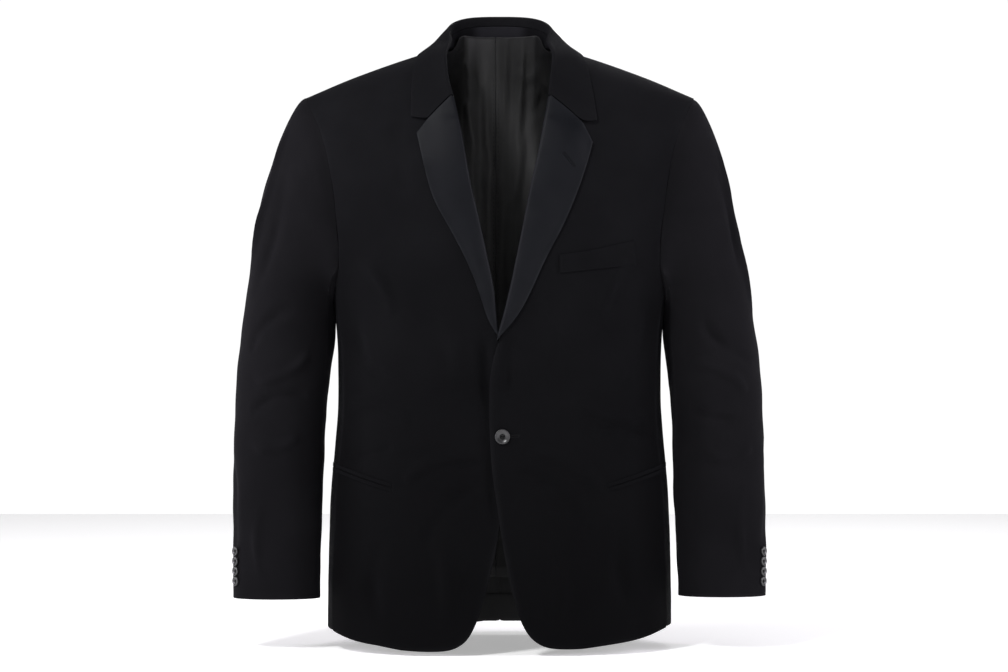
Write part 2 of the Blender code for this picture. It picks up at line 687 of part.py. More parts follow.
def lapel(side, name):
    table = LAPEL_LEFT_EDGE if side > 0 else LAPEL_RIGHT_EDGE
    notch = NOTCH_LEFT if side > 0 else NOTCH_RIGHT
    corner = table[-1]
    bottom_z = table[0].z
    columns = 7
    grid = []
    for r in range(LAPEL_ROWS + 1):
        v = r / LAPEL_ROWS
        roll_z = mix(bottom_z, GORGE_TOP_Z - 0.0005, v)
        outer_z = mix(bottom_z, corner.z, v)
        roll_x = edge_x(side, roll_z)
        outer_x = blend_table(table, "z", "x", outer_z)
        edge, out = on_front(side, roll_x, roll_z)
        top_pull = ease((v - 0.72) / 0.28)
        flat = []
        for c in range(columns + 1):
            u = c / columns
            x, z = mix(roll_x, outer_x, u), mix(roll_z, outer_z, u)
            knee = 0.72
            if u <= knee:
                kx, kz = mix(roll_x, notch.x, u / knee), mix(roll_z, notch.z - 0.0004, u / knee)
            else:
                kx = mix(notch.x, outer_x, (u - knee) / (1 - knee))
                kz = mix(notch.z - 0.0004, outer_z, (u - knee) / (1 - knee))
            x, z = mix(x, kx, top_pull), mix(z, kz, top_pull)
            lie = ROLL_GAP + FACING + LAPEL_BULGE * math.sin(math.pi * min(u * 1.15, 1.0)) * min(1.0, v * 3)
            flat.append(on_front(side, x, z, lie))
        across = (on_front(side, roll_x + 0.010, roll_z)[0] - edge).normalized()
        width = (flat[-1][0] - flat[0][0]).length
        row = wrap(edge + across * ROLL_OVERHANG * 0.2, out, across, min(LAPEL_TAIL, width * 0.9))
        grid.append(row + flat[1:])
    wall(name, inset(grid), FACING, SATIN, 0.45)


# The collar: a leaf that rolls over its fold and a stand that goes down inside the neck
def form_reach(point):
    # Distance of a point out of the body's form, and the way out, near neck and shoulders
    def value(p):
        x = min(abs(p.x), 0.24)
        top = blend_table(SHOULDER_LINE, "x", "z", x)
        share = max((p.z - CHEST_Z) / (top - CHEST_Z), 0.0)
        depth = BODY[-1].front if p.y < 0 else BODY[-1].back
        depth *= (1 - (x / half_width(0.8)) ** BODY_SQUARENESS) ** (1 / BODY_SQUARENESS)
        m = SHOULDER_SQUARENESS
        return (share ** m + (abs(p.y) / depth) ** m) ** (1 / m) - 1

    step = 0.0005
    here = value(point)
    slope = Vector([(value(point + axis * step) - value(point - axis * step)) / (2 * step)
                    for axis in (Vector((1, 0, 0)), Vector((0, 1, 0)), Vector((0, 0, 1)))])
    return here / slope.length, slope.normalized()


def clear_of_body(point, least):
    for _ in range(4):
        reach, way = form_reach(point)
        if reach < least:
            point = point + way * (least - reach)
    return point


def set_on_body(point, offset):
    for _ in range(6):
        reach, way = form_reach(point)
        point = point + way * (offset - reach)
    return point


def collar_stations(side):
    stations = []
    for i, row in enumerate(COLLAR):
        widen = 0.0045 * (i / len(COLLAR)) ** 2 if side > 0 else 0.0
        fold = Vector((row.fold_x, row.fold_y, row.fold_z))
        edge = Vector((row.edge_x + widen, row.edge_y, row.edge_z))
        tail = Vector((row.tail_x, row.tail_y, row.tail_z))
        if row.off is not None:
            fold = set_on_body(fold, row.off)
            tail = set_on_body(tail, -CLOTH - ROLL_GAP - FACING - 3 * TAIL_EASE)
        stations.append((fold, edge, tail))
    return stations


def spline(values, t):
    # A smooth curve through evenly numbered values
    i = min(int(t), len(values) - 2)
    f = t - i
    a, b = values[i], values[i + 1]
    before = values[i - 1] if i else (2 * a - b)
    after = values[i + 2] if i + 2 < len(values) else (2 * b - a)
    return 0.5 * (2 * a + (b - before) * f + (2 * before - 5 * a + 4 * b - after) * f * f
                  + (3 * a - before - 3 * b + after) * f ** 3)


def collar_half(side):
    # Rows from the middle of the back to the gorge; each is the stand, the roll and the leaf
    stations = collar_stations(side)
    folds = [s[0] for s in stations]
    edges = [s[1] for s in stations]
    tails = [s[2] for s in stations]
    notch, corner = (NOTCH_LEFT, CORNER_LEFT) if side > 0 else (NOTCH_RIGHT, CORNER_RIGHT)
    gorge_x = edge_x(side, GORGE_TOP_Z)
    gorge, gorge_out = on_front(1, gorge_x, GORGE_TOP_Z + 0.0005, 0.0, lift=False)
    beyond, _ = on_front(1, gorge_x + 0.010, GORGE_TOP_Z, 0.0, lift=False)
    across = (beyond - gorge).normalized()
    middle = gorge - gorge_out * (CLOTH / 2) + across * ROLL_OVERHANG * 0.2
    folds.append(middle - across * ROLL_RADIUS)
    corner_at, _ = on_front(1, corner.x, corner.z, 0.0, lift=False)
    edges.append(corner_at)
    tails.append(middle - gorge_out * (ROLL_RADIUS + TAIL_EASE) + across * LAPEL_TAIL)
    notch_at, _ = on_front(1, notch.x, notch.z + 0.0004, 0.0, lift=False)
    leaf_columns = 6
    half = []
    last = len(folds) - 1
    for r in range(COLLAR_STATIONS + 1):
        t = last * r / COLLAR_STATIONS
        fold, edge, tail = spline(folds, t), spline(edges, t), spline(tails, t)
        edge = set_on_body(edge, ROLL_GAP + FACING)
        along = spline(folds, min(t + 0.05, last)) - spline(folds, max(t - 0.05, 0))
        if r == 0:
            along = Vector((1, 0, 0))
        along.normalize()
        down = edge - fold
        down = (down - along * down.dot(along)).normalized()
        bend_in = ease((t - (last - 2.5)) / 2.5)
        hang = tail - fold
        hang = (hang - along * hang.dot(along)).normalized()
        hang = (hang * (1 - bend_in) + down * bend_in).normalized()
        out = along.cross(hang)
        if out.dot(Vector((fold.x, fold.y, 0.02))) < 0:
            out = -out
        meet = ease((t - (last - 2.0)) / 2.0)
        hang = (hang * (1 - meet) + across * meet).normalized()
        out = (out.normalized() * (1 - meet) + gorge_out * meet).normalized()
        middle = fold + hang * ROLL_RADIUS
        start_in = middle - out * ROLL_RADIUS
        row = [(mix(start_in, tail, s), -out) for s in (1.0, 0.72, STAND_SPLIT, 0.2)]
        for i in range(5):
            turn = math.pi * i / 4
            normal = -out * math.cos(turn) - hang * math.sin(turn)
            row.append((middle + normal * ROLL_RADIUS, normal))
        start = row[-1][0]
        knee = 0.72
        pull = ease((r / COLLAR_STATIONS - 0.72) / 0.28)
        for c in range(1, leaf_columns + 1):
            u = c / leaf_columns
            point = mix(start, edge, u) + (out + Vector((0, 0, 1))) * 0.0025 * math.sin(math.pi * u) * (1 - bend_in)
            if u <= knee:
                bent = mix(start, notch_at, u / knee)
            else:
                bent = mix(notch_at, corner_at, (u - knee) / (1 - knee))
            point = mix(point, bent, pull)
            bulge = 0.0012 * math.sin(math.pi * u)
            point = clear_of_body(point, ROLL_GAP + FACING + bulge)
            if pull >= 0.999 or c == leaf_columns:
                point = set_on_body(point, ROLL_GAP + FACING + bulge)
            _, normal = form_reach(point)
            row.append((point, (normal * u + out * (1 - u)).normalized()))
        half.append([(Vector((side * p.x, p.y, p.z)), Vector((side * n.x, n.y, n.z))) for p, n in row])
    return half


def collar():
    left, right = collar_half(1), collar_half(-1)
    rows = list(reversed(right)) + left[1:]
    stand_end = 3
    leaf = [row[stand_end - 1:] for row in rows]
    stand = [row[:stand_end] for row in rows]
    wall("collar", inset(leaf), FACING, WOOL)
    wall("collar_stand", inset(stand), FACING, WOOL)


# Lining of the back and the hem turned up under it
def lining():
    inward = -(CLOTH + LAY_GAP)
    for side, word in ((1, "left"), (-1, "right")):
        full = back_grid(side, inward)
        keep = [row[2:] for row in full if row[-1][0].z > TURN_UP_TOP_Z + 0.004]
        deep = []
        for row in keep:
            moved = []
            for p, n in row:
                pleat = LINING_PLEAT * math.exp(-(p.x / 0.016) ** 2) * ease((p.z + 0.55) / 0.3)
                moved.append((p - n * (0.0008 + 0.6 * pleat), n))
            deep.append(moved)
        wall("lining_" + word, inset(deep), LINING, LINING_GREY, 0.5)
    strip = []
    for level in (BACK_HEM_Z + 0.0015 - CHEST_Z, (BACK_HEM_Z + TURN_UP_TOP_Z) / 2 - CHEST_Z, TURN_UP_TOP_Z - CHEST_Z):
        row = []
        for i in range(17):
            share = i / 8 - 1
            x = 0.150 * share
            angle = math.acos((abs(x) / half_width(level)) ** (BODY_SQUARENESS / 2))
            point, normal = body(1 if x >= 0 else -1, angle, level, inward)
            row.append((point, normal))
        strip.append(row)
    wall("hem_turn_up", inset(strip), LINING, WOOL)


# Pockets
def pocket_strip(name, side, lower, upper, thickness, columns, rows=1, colour=WOOL):
    grid = []
    for r in range(rows + 1):
        edge = [Corner(mix(a.x, b.x, r / rows), mix(a.z, b.z, r / rows)) for a, b in zip(lower, upper)]
        row = []
        for c in range(columns + 1):
            t = (len(edge) - 1) * c / columns
            i = min(int(t), len(edge) - 2)
            x, z = mix(edge[i].x, edge[i + 1].x, t - i), mix(edge[i].z, edge[i + 1].z, t - i)
            row.append(on_front(side, x, z, POCKET_GAP + thickness))
        grid.append(row)
    wall(name, grid, thickness, colour)


def pockets():
    pocket_strip("breast_welt", 1, WELT_BOTTOM, WELT_TOP, WELT, 8, rows=2)
    for side, word in ((1, "left"), (-1, "right")):
        middle = POCKET_LINE
        above = [Corner(p.x, p.z + JET_WIDTH + 0.0002) for p in middle]
        start = [Corner(p.x, p.z + 0.0002) for p in middle]
        finish = [Corner(p.x, p.z - 0.0002) for p in middle]
        below = [Corner(p.x, p.z - JET_WIDTH - 0.0002) for p in middle]
        pocket_strip("pocket_jet_upper_" + word, side, start, above, WELT, 9)
        pocket_strip("pocket_jet_lower_" + word, side, below, finish, WELT, 9)


# Buttons: a turned disc with a raised rim and a sunk middle
def button(name, centre, normal, diameter, segments, scale):
    r = diameter / 2
    profile = ((0.55 * r, 0.0), (0.92 * r, 0.0006), (1.0 * r, 0.0015 * scale), (0.93 * r, 0.0027 * scale),
               (0.80 * r, 0.0030 * scale), (0.66 * r, 0.0024 * scale), (0.30 * r, 0.0021 * scale))
    axis = normal.normalized()
    u = axis.cross(Vector((0, 0, 1))).normalized()
    v = axis.cross(u)
    points = []
    for radius, up in profile:
        for i in range(segments):
            a = 2 * math.pi * i / segments
            points.append(centre + u * radius * math.cos(a) + v * radius * math.sin(a) + axis * up)
    faces = []
    for p in range(len(profile) - 1):
        for i in range(segments):
            j = (i + 1) % segments
            a, b = p * segments + i, p * segments + j
            faces.append((a, b, b + segments, a + segments))
    faces.append(tuple(reversed(range(segments))))
    faces.append(tuple((len(profile) - 1) * segments + i for i in range(segments)))
    place(name, points, faces, BUTTON_GREY, 0.35)


def buttons():
    at, normal = on_front(1, FRONT_BUTTON.x, FRONT_BUTTON.z, BUTTON_SEAT)
    button("button_front", at, normal, FRONT_BUTTON_DIAMETER, 20, 1.0)
    for side, word in ((1, "left"), (-1, "right")):
        for i in range(4):
            z = CUFF_BUTTON_TOP_Z - i * CUFF_BUTTON_PITCH
            at = ring_point(side, CUFF_BUTTON_ANGLE, z)
            ahead = ring_point(side, CUFF_BUTTON_ANGLE + 6, z) - ring_point(side, CUFF_BUTTON_ANGLE - 6, z)
            normal = Vector((0, 0, 1)).cross(ahead).normalized() * -side
            if normal.x * side < 0:
                normal = -normal
            button("button_cuff_%d_%s" % (i + 1, word), at + normal * CUFF_BUTTON_SEAT, normal,
                   CUFF_BUTTON_DIAMETER, 12, 0.75)


front_panel(1, "front_left")
front_panel(-1, "front_right")
side_panel(1, "side_left")
side_panel(-1, "side_right")
back_panel(1, "back_left")
back_panel(-1, "back_right")
sleeves(1, "left")
sleeves(-1, "right")
lapel(1, "lapel_left")
lapel(-1, "lapel_right")
collar()
lining()
pockets()
buttons()
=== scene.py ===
import math

import bpy
import numpy as np
from mathutils import Matrix, Vector
from mathutils.kdtree import KDTree


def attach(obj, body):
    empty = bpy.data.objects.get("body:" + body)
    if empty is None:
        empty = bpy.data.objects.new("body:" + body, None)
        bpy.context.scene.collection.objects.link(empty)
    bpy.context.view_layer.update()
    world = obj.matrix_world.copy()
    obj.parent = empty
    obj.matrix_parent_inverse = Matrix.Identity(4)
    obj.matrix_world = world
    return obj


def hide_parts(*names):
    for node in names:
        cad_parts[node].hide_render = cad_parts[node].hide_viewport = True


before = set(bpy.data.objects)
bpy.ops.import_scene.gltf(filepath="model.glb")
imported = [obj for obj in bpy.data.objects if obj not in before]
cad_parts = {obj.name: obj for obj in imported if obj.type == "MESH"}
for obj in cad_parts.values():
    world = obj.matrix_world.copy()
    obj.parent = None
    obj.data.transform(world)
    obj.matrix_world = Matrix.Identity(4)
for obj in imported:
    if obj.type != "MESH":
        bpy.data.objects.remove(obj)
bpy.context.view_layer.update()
print("frame loaded:", len(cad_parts), "nodes")

# camera, floor and light
studio = {
    "cameraPlace": (0.0056, -3.4, -0.353),
    "lens": 96.4,
    "floorZ": -0.7420,
    "floorSize": 5.0,
    "floorGlow": 0.36,
    "lowSky": 1.03,  # the white round the horizon
    "highSky": 0.16,
    "fadeFrom": 0.13,  # where the white goes over into the dim sky above
    "fadeTo": 0.30,
    "lights": (  # name, place, aim, width, height, watts, colour
        ("keyLight", (-1.2, -1.9, 1.7), (0.0, 0.0, -0.25), 0.5, 0.5, 62, (1.0, 1.0, 1.0)),
        ("topLight", (0.1, -0.3, 2.4), (0.0, 0.0, -0.70), 1.6, 1.6, 9, (1.0, 1.0, 1.0)),
        ("sideLight", (2.2, -0.7, 0.4), (0.2, 0.0, -0.35), 0.6, 1.6, 40, (0.95, 0.90, 1.0)),
        ("otherSideLight", (-2.2, -0.7, 0.3), (-0.2, 0.0, -0.35), 0.6, 1.6, 36, (0.95, 0.90, 1.0)),
        ("backLight", (0.6, 2.2, 1.6), (0.0, 0.0, -0.25), 1.0, 0.9, 16, (1.0, 1.0, 1.0)),
    ),
}


def aimAt(thing, place, target):
    thing.location = place
    thing.rotation_euler = (Vector(target) - Vector(place)).to_track_quat("-Z", "Y").to_euler()


bpy.ops.object.camera_add(location=studio["cameraPlace"], rotation=(math.pi / 2, 0, 0))
camera = bpy.context.object
camera.data.lens = studio["lens"]
camera.data.sensor_width = 36
camera.data.clip_end = 30
bpy.context.scene.camera = camera
bpy.context.scene.view_settings.view_transform = "Standard"

bpy.ops.mesh.primitive_plane_add(size=studio["floorSize"], location=(0, 0, studio["floorZ"]))
floor = bpy.context.object
floor.name = "floor"

world = bpy.data.worlds.new("softRoom")
bpy.context.scene.world = world
world.use_nodes = True
sky = world.node_tree
sky.nodes["Background"].inputs["Color"].default_value = (1, 1, 1, 1)
skyWay = sky.nodes.new("ShaderNodeTexCoord")
skySplit = sky.nodes.new("ShaderNodeSeparateXYZ")
skyFade = sky.nodes.new("ShaderNodeMapRange")
skyFade.interpolation_type = "SMOOTHSTEP"
for socket, value in (("From Min", studio["fadeFrom"]), ("From Max", studio["fadeTo"]),
                      ("To Min", studio["lowSky"]), ("To Max", studio["highSky"])):
    skyFade.inputs[socket].default_value = value
sky.links.new(skyWay.outputs["Generated"], skySplit.inputs[0])
sky.links.new(skySplit.outputs["Z"], skyFade.inputs["Value"])
sky.links.new(skyFade.outputs[0], sky.nodes["Background"].inputs["Strength"])

for name, place, target, wide, high, watts, tint in studio["lights"]:
    lamp = bpy.data.lights.new(name, "AREA")
    lamp.shape, lamp.size, lamp.size_y, lamp.energy = "RECTANGLE", wide, high, watts
    lamp.color = tint
    lampObject = bpy.data.objects.new(name, lamp)
    bpy.context.scene.collection.objects.link(lampObject)
    aimAt(lampObject, place, target)
print("studio set")


# materials
def startMaterial(name):
    made = bpy.data.materials.new(name)
    made.use_nodes = True
    return made, made.node_tree, made.node_tree.nodes["Principled BSDF"]


def addNode(tree, kind, settings=None, **sockets):
    made = tree.nodes.new(kind)
    for key, value in (settings or {}).items():
        setattr(made, key, value)
    for key, value in sockets.items():
        made.inputs[key.replace("_", " ")].default_value = value
    return made


def calc(tree, operation, a, b, clamp=False):
    made = addNode(tree, "ShaderNodeMath", {"operation": operation, "use_clamp": clamp})
    for socket, value in ((0, a), (1, b)):
        if isinstance(value, (int, float)):
            made.inputs[socket].default_value = value
        else:
            tree.links.new(value, made.inputs[socket])
    return made.outputs[0]


def mixColour(tree, share, first, second):
    made = addNode(tree, "ShaderNodeMix", {"data_type": "RGBA"})
    for socket, value in (("Factor", share), ("A", first), ("B", second)):
        target = [i for i in made.inputs if i.name == socket and i.enabled][0]
        if isinstance(value, tuple):
            target.default_value = (*value, 1)
        else:
            tree.links.new(value, target)
    return [o for o in made.outputs if o.enabled][0]


def noise(tree, place, **sockets):
    made = addNode(tree, "ShaderNodeTexNoise", **sockets)
    tree.links.new(place, made.inputs["Vector"])
    return made.outputs["Fac"]


def roughen(tree, shader, relief, strength, height):
    bump = addNode(tree, "ShaderNodeBump", Strength=strength, Distance=height)
    tree.links.new(relief, bump.inputs["Height"])
    tree.links.new(bump.outputs[0], shader.inputs["Normal"])


def bands(tree, place, turn, pitch, distortion):
    turned = addNode(tree, "ShaderNodeMapping", Rotation=(0, 0, turn))
    tree.links.new(place, turned.inputs["Vector"])
    wave = addNode(tree, "ShaderNodeTexWave", Scale=0.31416 / pitch, Distortion=distortion, Detail=1.0)
    tree.links.new(turned.outputs[0], wave.inputs["Vector"])
    return wave.outputs["Fac"]


def clothMaterial(name, look):
    made, tree, shader = startMaterial(name)
    link = tree.links.new
    weave = addNode(tree, "ShaderNodeUVMap", {"uv_map": "weave"}).outputs[0]
    solid = addNode(tree, "ShaderNodeTexCoord").outputs["Object"]
    rib = bands(tree, weave, look["ribTurn"], look["ribPitch"], 0.6)
    yarn = bands(tree, weave, look["ribTurn"] + look["yarnTurn"], look["yarnPitch"], 0.9)
    relief = calc(tree, "ADD", calc(tree, "MULTIPLY", rib, look["ribShare"]),
                  calc(tree, "MULTIPLY", yarn, 1 - look["ribShare"]))
    fuzz = noise(tree, solid, Scale=look["fuzzScale"], Detail=3.0)
    patch = noise(tree, solid, Scale=look["patchScale"], Detail=4.0, Roughness=0.6)
    relief = calc(tree, "ADD", relief, calc(tree, "MULTIPLY", fuzz, look["fuzzShare"]))
    tone = addNode(tree, "ShaderNodeMapRange", From_Min=0.35, From_Max=0.65)
    link(patch, tone.inputs["Value"])
    colour = mixColour(tree, tone.outputs[0], look["dark"], look["light"])
    grain = calc(tree, "MULTIPLY", relief, look["grain"], clamp=True)
    colour = mixColour(tree, grain, colour, look["yarn"])
    split = addNode(tree, "ShaderNodeSeparateXYZ")
    link(solid, split.inputs[0])
    high = addNode(tree, "ShaderNodeMapRange", From_Min=-0.66, From_Max=-0.10, To_Min=look["fade"],
                   To_Max=0.0)  # painted shade: the cloth is darker towards its hem, standing in for light that falls from above
    link(split.outputs["Z"], high.inputs["Value"])
    colour = mixColour(tree, high.outputs[0], colour, (0.0012, 0.0012, 0.0014))
    shade = addNode(tree, "ShaderNodeAttribute", {"attribute_name": "shade"}).outputs["Fac"]
    colour = mixColour(tree, shade, colour, (0.0003, 0.0003, 0.0004))
    rub = addNode(tree, "ShaderNodeAttribute", {"attribute_name": "rub"}).outputs["Fac"]
    worn = calc(tree, "MULTIPLY", rub, calc(tree, "MULTIPLY", tone.outputs[0], look["rubShare"]), clamp=True)
    colour = mixColour(tree, worn, colour, look["worn"])
    link(colour, shader.inputs["Base Color"])
    rough = addNode(tree, "ShaderNodeMapRange", To_Min=look["roughness"][0], To_Max=look["roughness"][1])
    link(fuzz, rough.inputs["Value"])
    link(rough.outputs[0], shader.inputs["Roughness"])
    roughen(tree, shader, relief, look["bump"], look["bumpHeight"])
    shader.inputs["Specular IOR Level"].default_value = look["specular"]
    shader.inputs["Sheen Weight"].default_value = look["sheen"]
    shader.inputs["Sheen Roughness"].default_value = look["sheenRoughness"]
    shader.inputs["Sheen Tint"].default_value = (*look["sheenTint"], 1)
    shader.inputs["Anisotropic"].default_value = look["brushed"]
    return made


# the 'fade' of each look is how much painted shade darkens it towards its hem
woolLook = {
    "dark": (0.0022, 0.0022, 0.0027), "light": (0.0044, 0.0044, 0.0051), "yarn": (0.0068, 0.0068, 0.0079),
    "worn": (0.014, 0.014, 0.0155), "rubShare": 0.30, "grain": 0.5, "patchScale": 9.0,
    "ribTurn": math.radians(28), "ribPitch": 0.00085, "yarnTurn": math.radians(75), "yarnPitch": 0.00052,
    "ribShare": 0.65, "fuzzScale": 1500.0, "fuzzShare": 0.35, "roughness": (0.78, 0.95),
    "bump": 0.55, "bumpHeight": 0.00025, "specular": 0.036, "sheen": 0.010, "sheenRoughness": 0.45,
    "sheenTint": (0.84, 0.84, 1.0), "brushed": 0.0, "fade": 0.80,
}
satinLook = dict(
    woolLook, dark=(0.0031, 0.0034, 0.0047), light=(0.0043, 0.0047, 0.0062), yarn=(0.0060, 0.0065, 0.0082),
    worn=(0.020, 0.021, 0.024), rubShare=0.45, grain=0.35, patchScale=26.0,
    ribTurn=math.radians(90), ribPitch=0.00060, yarnTurn=math.radians(90), yarnPitch=0.00035, ribShare=0.8,
    fuzzShare=0.12, roughness=(0.42, 0.54), bump=0.30, bumpHeight=0.00012, specular=0.075, sheen=0.0,
    brushed=0.5, fade=0.10)
liningLook = dict(
    woolLook, dark=(0.066, 0.066, 0.067), light=(0.088, 0.088, 0.090), yarn=(0.116, 0.116, 0.119),
    worn=(0.045, 0.045, 0.048), rubShare=0.3, grain=0.4, patchScale=18.0,
    ribTurn=math.radians(62), ribPitch=0.00055, yarnTurn=math.radians(55), yarnPitch=0.00040, ribShare=0.75,
    fuzzShare=0.10, roughness=(0.42, 0.55), bump=0.30, bumpHeight=0.00012, specular=0.20, sheen=0.01,
    brushed=0.4, fade=0.10)
wool = clothMaterial("woolTwill", woolLook)
satin = clothMaterial("lapelSatin", satinLook)
lining = clothMaterial("bodyLining", liningLook)
# a much lighter copy of the wool for the turned-up hem and the back's inside above it: painted light,
# standing in for light bounced up from the floor
insideWoolLit = clothMaterial("woolInsideLit", dict(
    woolLook, dark=(0.017, 0.017, 0.0175), light=(0.026, 0.026, 0.0265), yarn=(0.034, 0.034, 0.035),
    fade=0.0))
# a lighter copy of the wool with more sheen and less shade towards the hem: painted light on the sleeves,
# which face more light
sleeveWoolLit = clothMaterial("woolTwillSleeveLit", dict(
    woolLook, dark=(0.0032, 0.0031, 0.0037), light=(0.0056, 0.0054, 0.0063), yarn=(0.0082, 0.0079, 0.0092),
    sheen=0.016, sheenTint=(0.88, 0.84, 1.0), fade=0.10))
# felt for the collar stand, lighter than the wool: partly its own cloth, partly painted light standing in
# for the light inside the neck
standFeltLit = clothMaterial("collarFeltLit", dict(
    woolLook, dark=(0.0085, 0.0083, 0.0104), light=(0.0112, 0.0110, 0.0136), yarn=(0.0146, 0.0144, 0.0170),
    fade=0.0))


def hornMaterial(name, dark, light, roughness, shine):
    made, tree, shader = startMaterial(name)
    solid = addNode(tree, "ShaderNodeTexCoord").outputs["Object"]
    stretched = addNode(tree, "ShaderNodeMapping", Scale=(180, 180, 620))
    tree.links.new(solid, stretched.inputs["Vector"])
    streak = noise(tree, stretched.outputs[0], Scale=1.0, Detail=5.0, Distortion=1.2)
    tone = addNode(tree, "ShaderNodeMapRange", From_Min=0.38, From_Max=0.62)
    tree.links.new(streak, tone.inputs["Value"])
    tree.links.new(mixColour(tree, tone.outputs[0], dark, light), shader.inputs["Base Color"])
    rough = addNode(tree, "ShaderNodeMapRange", To_Min=roughness, To_Max=roughness + 0.12)
    tree.links.new(streak, rough.inputs["Value"])
    tree.links.new(rough.outputs[0], shader.inputs["Roughness"])
    roughen(tree, shader, streak, 0.15, 0.0001)
    shader.inputs["Specular IOR Level"].default_value = shine
    return made


def threadMaterial(name, dark, light):
    made, tree, shader = startMaterial(name)
    solid = addNode(tree, "ShaderNodeTexCoord").outputs["Object"]
    fibre = noise(tree, solid, Scale=2600.0, Detail=2.0)
    tree.links.new(mixColour(tree, fibre, dark, light), shader.inputs["Base Color"])
    roughen(tree, shader, fibre, 0.4, 0.0001)
    shader.inputs["Roughness"].default_value = 0.8
    shader.inputs["Specular IOR Level"].default_value = 0.06
    return made


def floorMaterial():
    made, tree, shader = startMaterial("paleFloor")
    solid = addNode(tree, "ShaderNodeTexCoord").outputs["Object"]
    cloudy = noise(tree, solid, Scale=3.0, Detail=3.0)
    tree.links.new(mixColour(tree, cloudy, (0.93, 0.93, 0.93), (0.95, 0.95, 0.95)),
                   shader.inputs["Base Color"])
    shader.inputs["Roughness"].default_value = 0.9
    shader.inputs["Specular IOR Level"].default_value = 0.1
    shader.inputs["Emission Color"].default_value = (1, 1, 1, 1)
    shader.inputs["Emission Strength"].default_value = studio["floorGlow"]
    return made


horn = hornMaterial("buttonHorn", (0.006, 0.006, 0.0065), (0.020, 0.020, 0.0215), 0.24, 0.65)
hornWell = hornMaterial("buttonWell", (0.002, 0.002, 0.0022), (0.005, 0.005, 0.0054), 0.60, 0.10)
blackThread = threadMaterial("blackThread", (0.0040, 0.0040, 0.0044), (0.0085, 0.0085, 0.0092))
satinThread = threadMaterial("satinThread", (0.0036, 0.0037, 0.0046), (0.0068, 0.0070, 0.0084))
liningThread = threadMaterial("liningThread", (0.010, 0.010, 0.011), (0.022, 0.022, 0.023))
paleThread = threadMaterial("greyThread", (0.020, 0.020, 0.020), (0.045, 0.045, 0.045))
floor.data.materials.append(floorMaterial())
print("materials made")


# tools
def selectNothing():
    if bpy.context.object and bpy.context.object.mode != "OBJECT":
        bpy.ops.object.mode_set(mode="OBJECT")
    bpy.ops.object.select_all(action="DESELECT")


def workOn(piece):
    selectNothing()
    piece.select_set(True)
    bpy.context.view_layer.objects.active = piece


def applyModifier(piece, kind, **values):
    workOn(piece)
    added = piece.modifiers.new("work", kind)
    for key, value in values.items():
        setattr(added, key, value)
    bpy.ops.object.modifier_apply(modifier=added.name)


def readPoints(piece):
    points = np.zeros(len(piece.data.vertices) * 3)
    piece.data.vertices.foreach_get("co", points)
    return points.reshape(-1, 3)


def writePoints(piece, points):
    piece.data.vertices.foreach_set("co", points.ravel())
    piece.data.update()


lifting = {"merge": 0.00002, "quadFace": 60, "quadShape": 70, "sharp": 48, "tipNear": 0.0035}


def liftCopy(nodeName, pieceName, levels, rimCrease, sharpCorners=False, tips=()):
    # a smooth copy of a CAD node, ready to be draped
    piece = bpy.data.objects.new(pieceName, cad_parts[nodeName].data.copy())
    bpy.context.scene.collection.objects.link(piece)
    piece.data.materials.clear()
    workOn(piece)
    bpy.ops.mesh.customdata_custom_splitnormals_clear()
    bpy.ops.object.mode_set(mode="EDIT")
    bpy.ops.mesh.select_mode(type="EDGE")
    bpy.ops.mesh.select_all(action="SELECT")
    bpy.ops.mesh.remove_doubles(threshold=lifting["merge"])
    bpy.ops.mesh.tris_convert_to_quads(face_threshold=math.radians(lifting["quadFace"]),
                                       shape_threshold=math.radians(lifting["quadShape"]))
    bpy.ops.mesh.select_all(action="DESELECT")
    bpy.ops.mesh.edges_select_sharp(sharpness=math.radians(lifting["sharp"]))
    bpy.ops.transform.edge_crease(value=rimCrease)
    if sharpCorners:  # a corner of the cloth is where only three edges meet
        bpy.ops.mesh.select_all(action="DESELECT")
        bpy.ops.mesh.select_mode(type="VERT")
        bpy.ops.object.mode_set(mode="OBJECT")
        meeting = np.zeros(len(piece.data.vertices), int)
        for edge in piece.data.edges:
            meeting[list(edge.vertices)] += 1
        at = readPoints(piece)
        sharp = meeting == 3
        for tipX, tipZ in tips:
            sharp |= np.hypot(at[:, 0] - tipX, at[:, 2] - tipZ) < lifting["tipNear"]
        for k in np.nonzero(sharp)[0]:
            piece.data.vertices[k].select = True
        bpy.ops.object.mode_set(mode="EDIT")
        bpy.ops.transform.vert_crease(value=1)
    bpy.ops.object.mode_set(mode="OBJECT")
    applyModifier(piece, "SUBSURF", levels=levels, render_levels=levels)
    bpy.ops.object.shade_smooth()
    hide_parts(nodeName)
    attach(piece, "root")
    return piece


# the form that every cloth piece lies on
bodyForm = {"halfWide": 0.205, "halfDeep": 0.128, "topZ": -0.22, "shoulderPull": 3.2}
sleeveAxis = {  # middle of the sleeve at each height, x towards its own side
    "round": 0.055,
    "z": (-0.68, -0.60, -0.50, -0.40, -0.30, -0.20, -0.06),
    "x": (0.2768, 0.2775, 0.2762, 0.2709, 0.2600, 0.2475, 0.2300),
    "y": (-0.046, -0.0285, -0.0086, -0.0026, 0.0, 0.0, 0.0),
}


def bodyOut(points):
    x, y, z = points.T
    up = np.clip(z - bodyForm["topZ"], 0, None) * bodyForm["shoulderPull"] * 4
    out = np.stack([x / bodyForm["halfWide"] ** 2, y / bodyForm["halfDeep"] ** 2, up * 12], 1)
    return out / np.maximum(np.linalg.norm(out, axis=1, keepdims=True), 1e-9)


def sleeveMiddle(points, side):
    order = np.array(sleeveAxis["z"])
    x = np.interp(points[:, 2], order, sleeveAxis["x"]) * side
    y = np.interp(points[:, 2], order, sleeveAxis["y"])
    return x, y


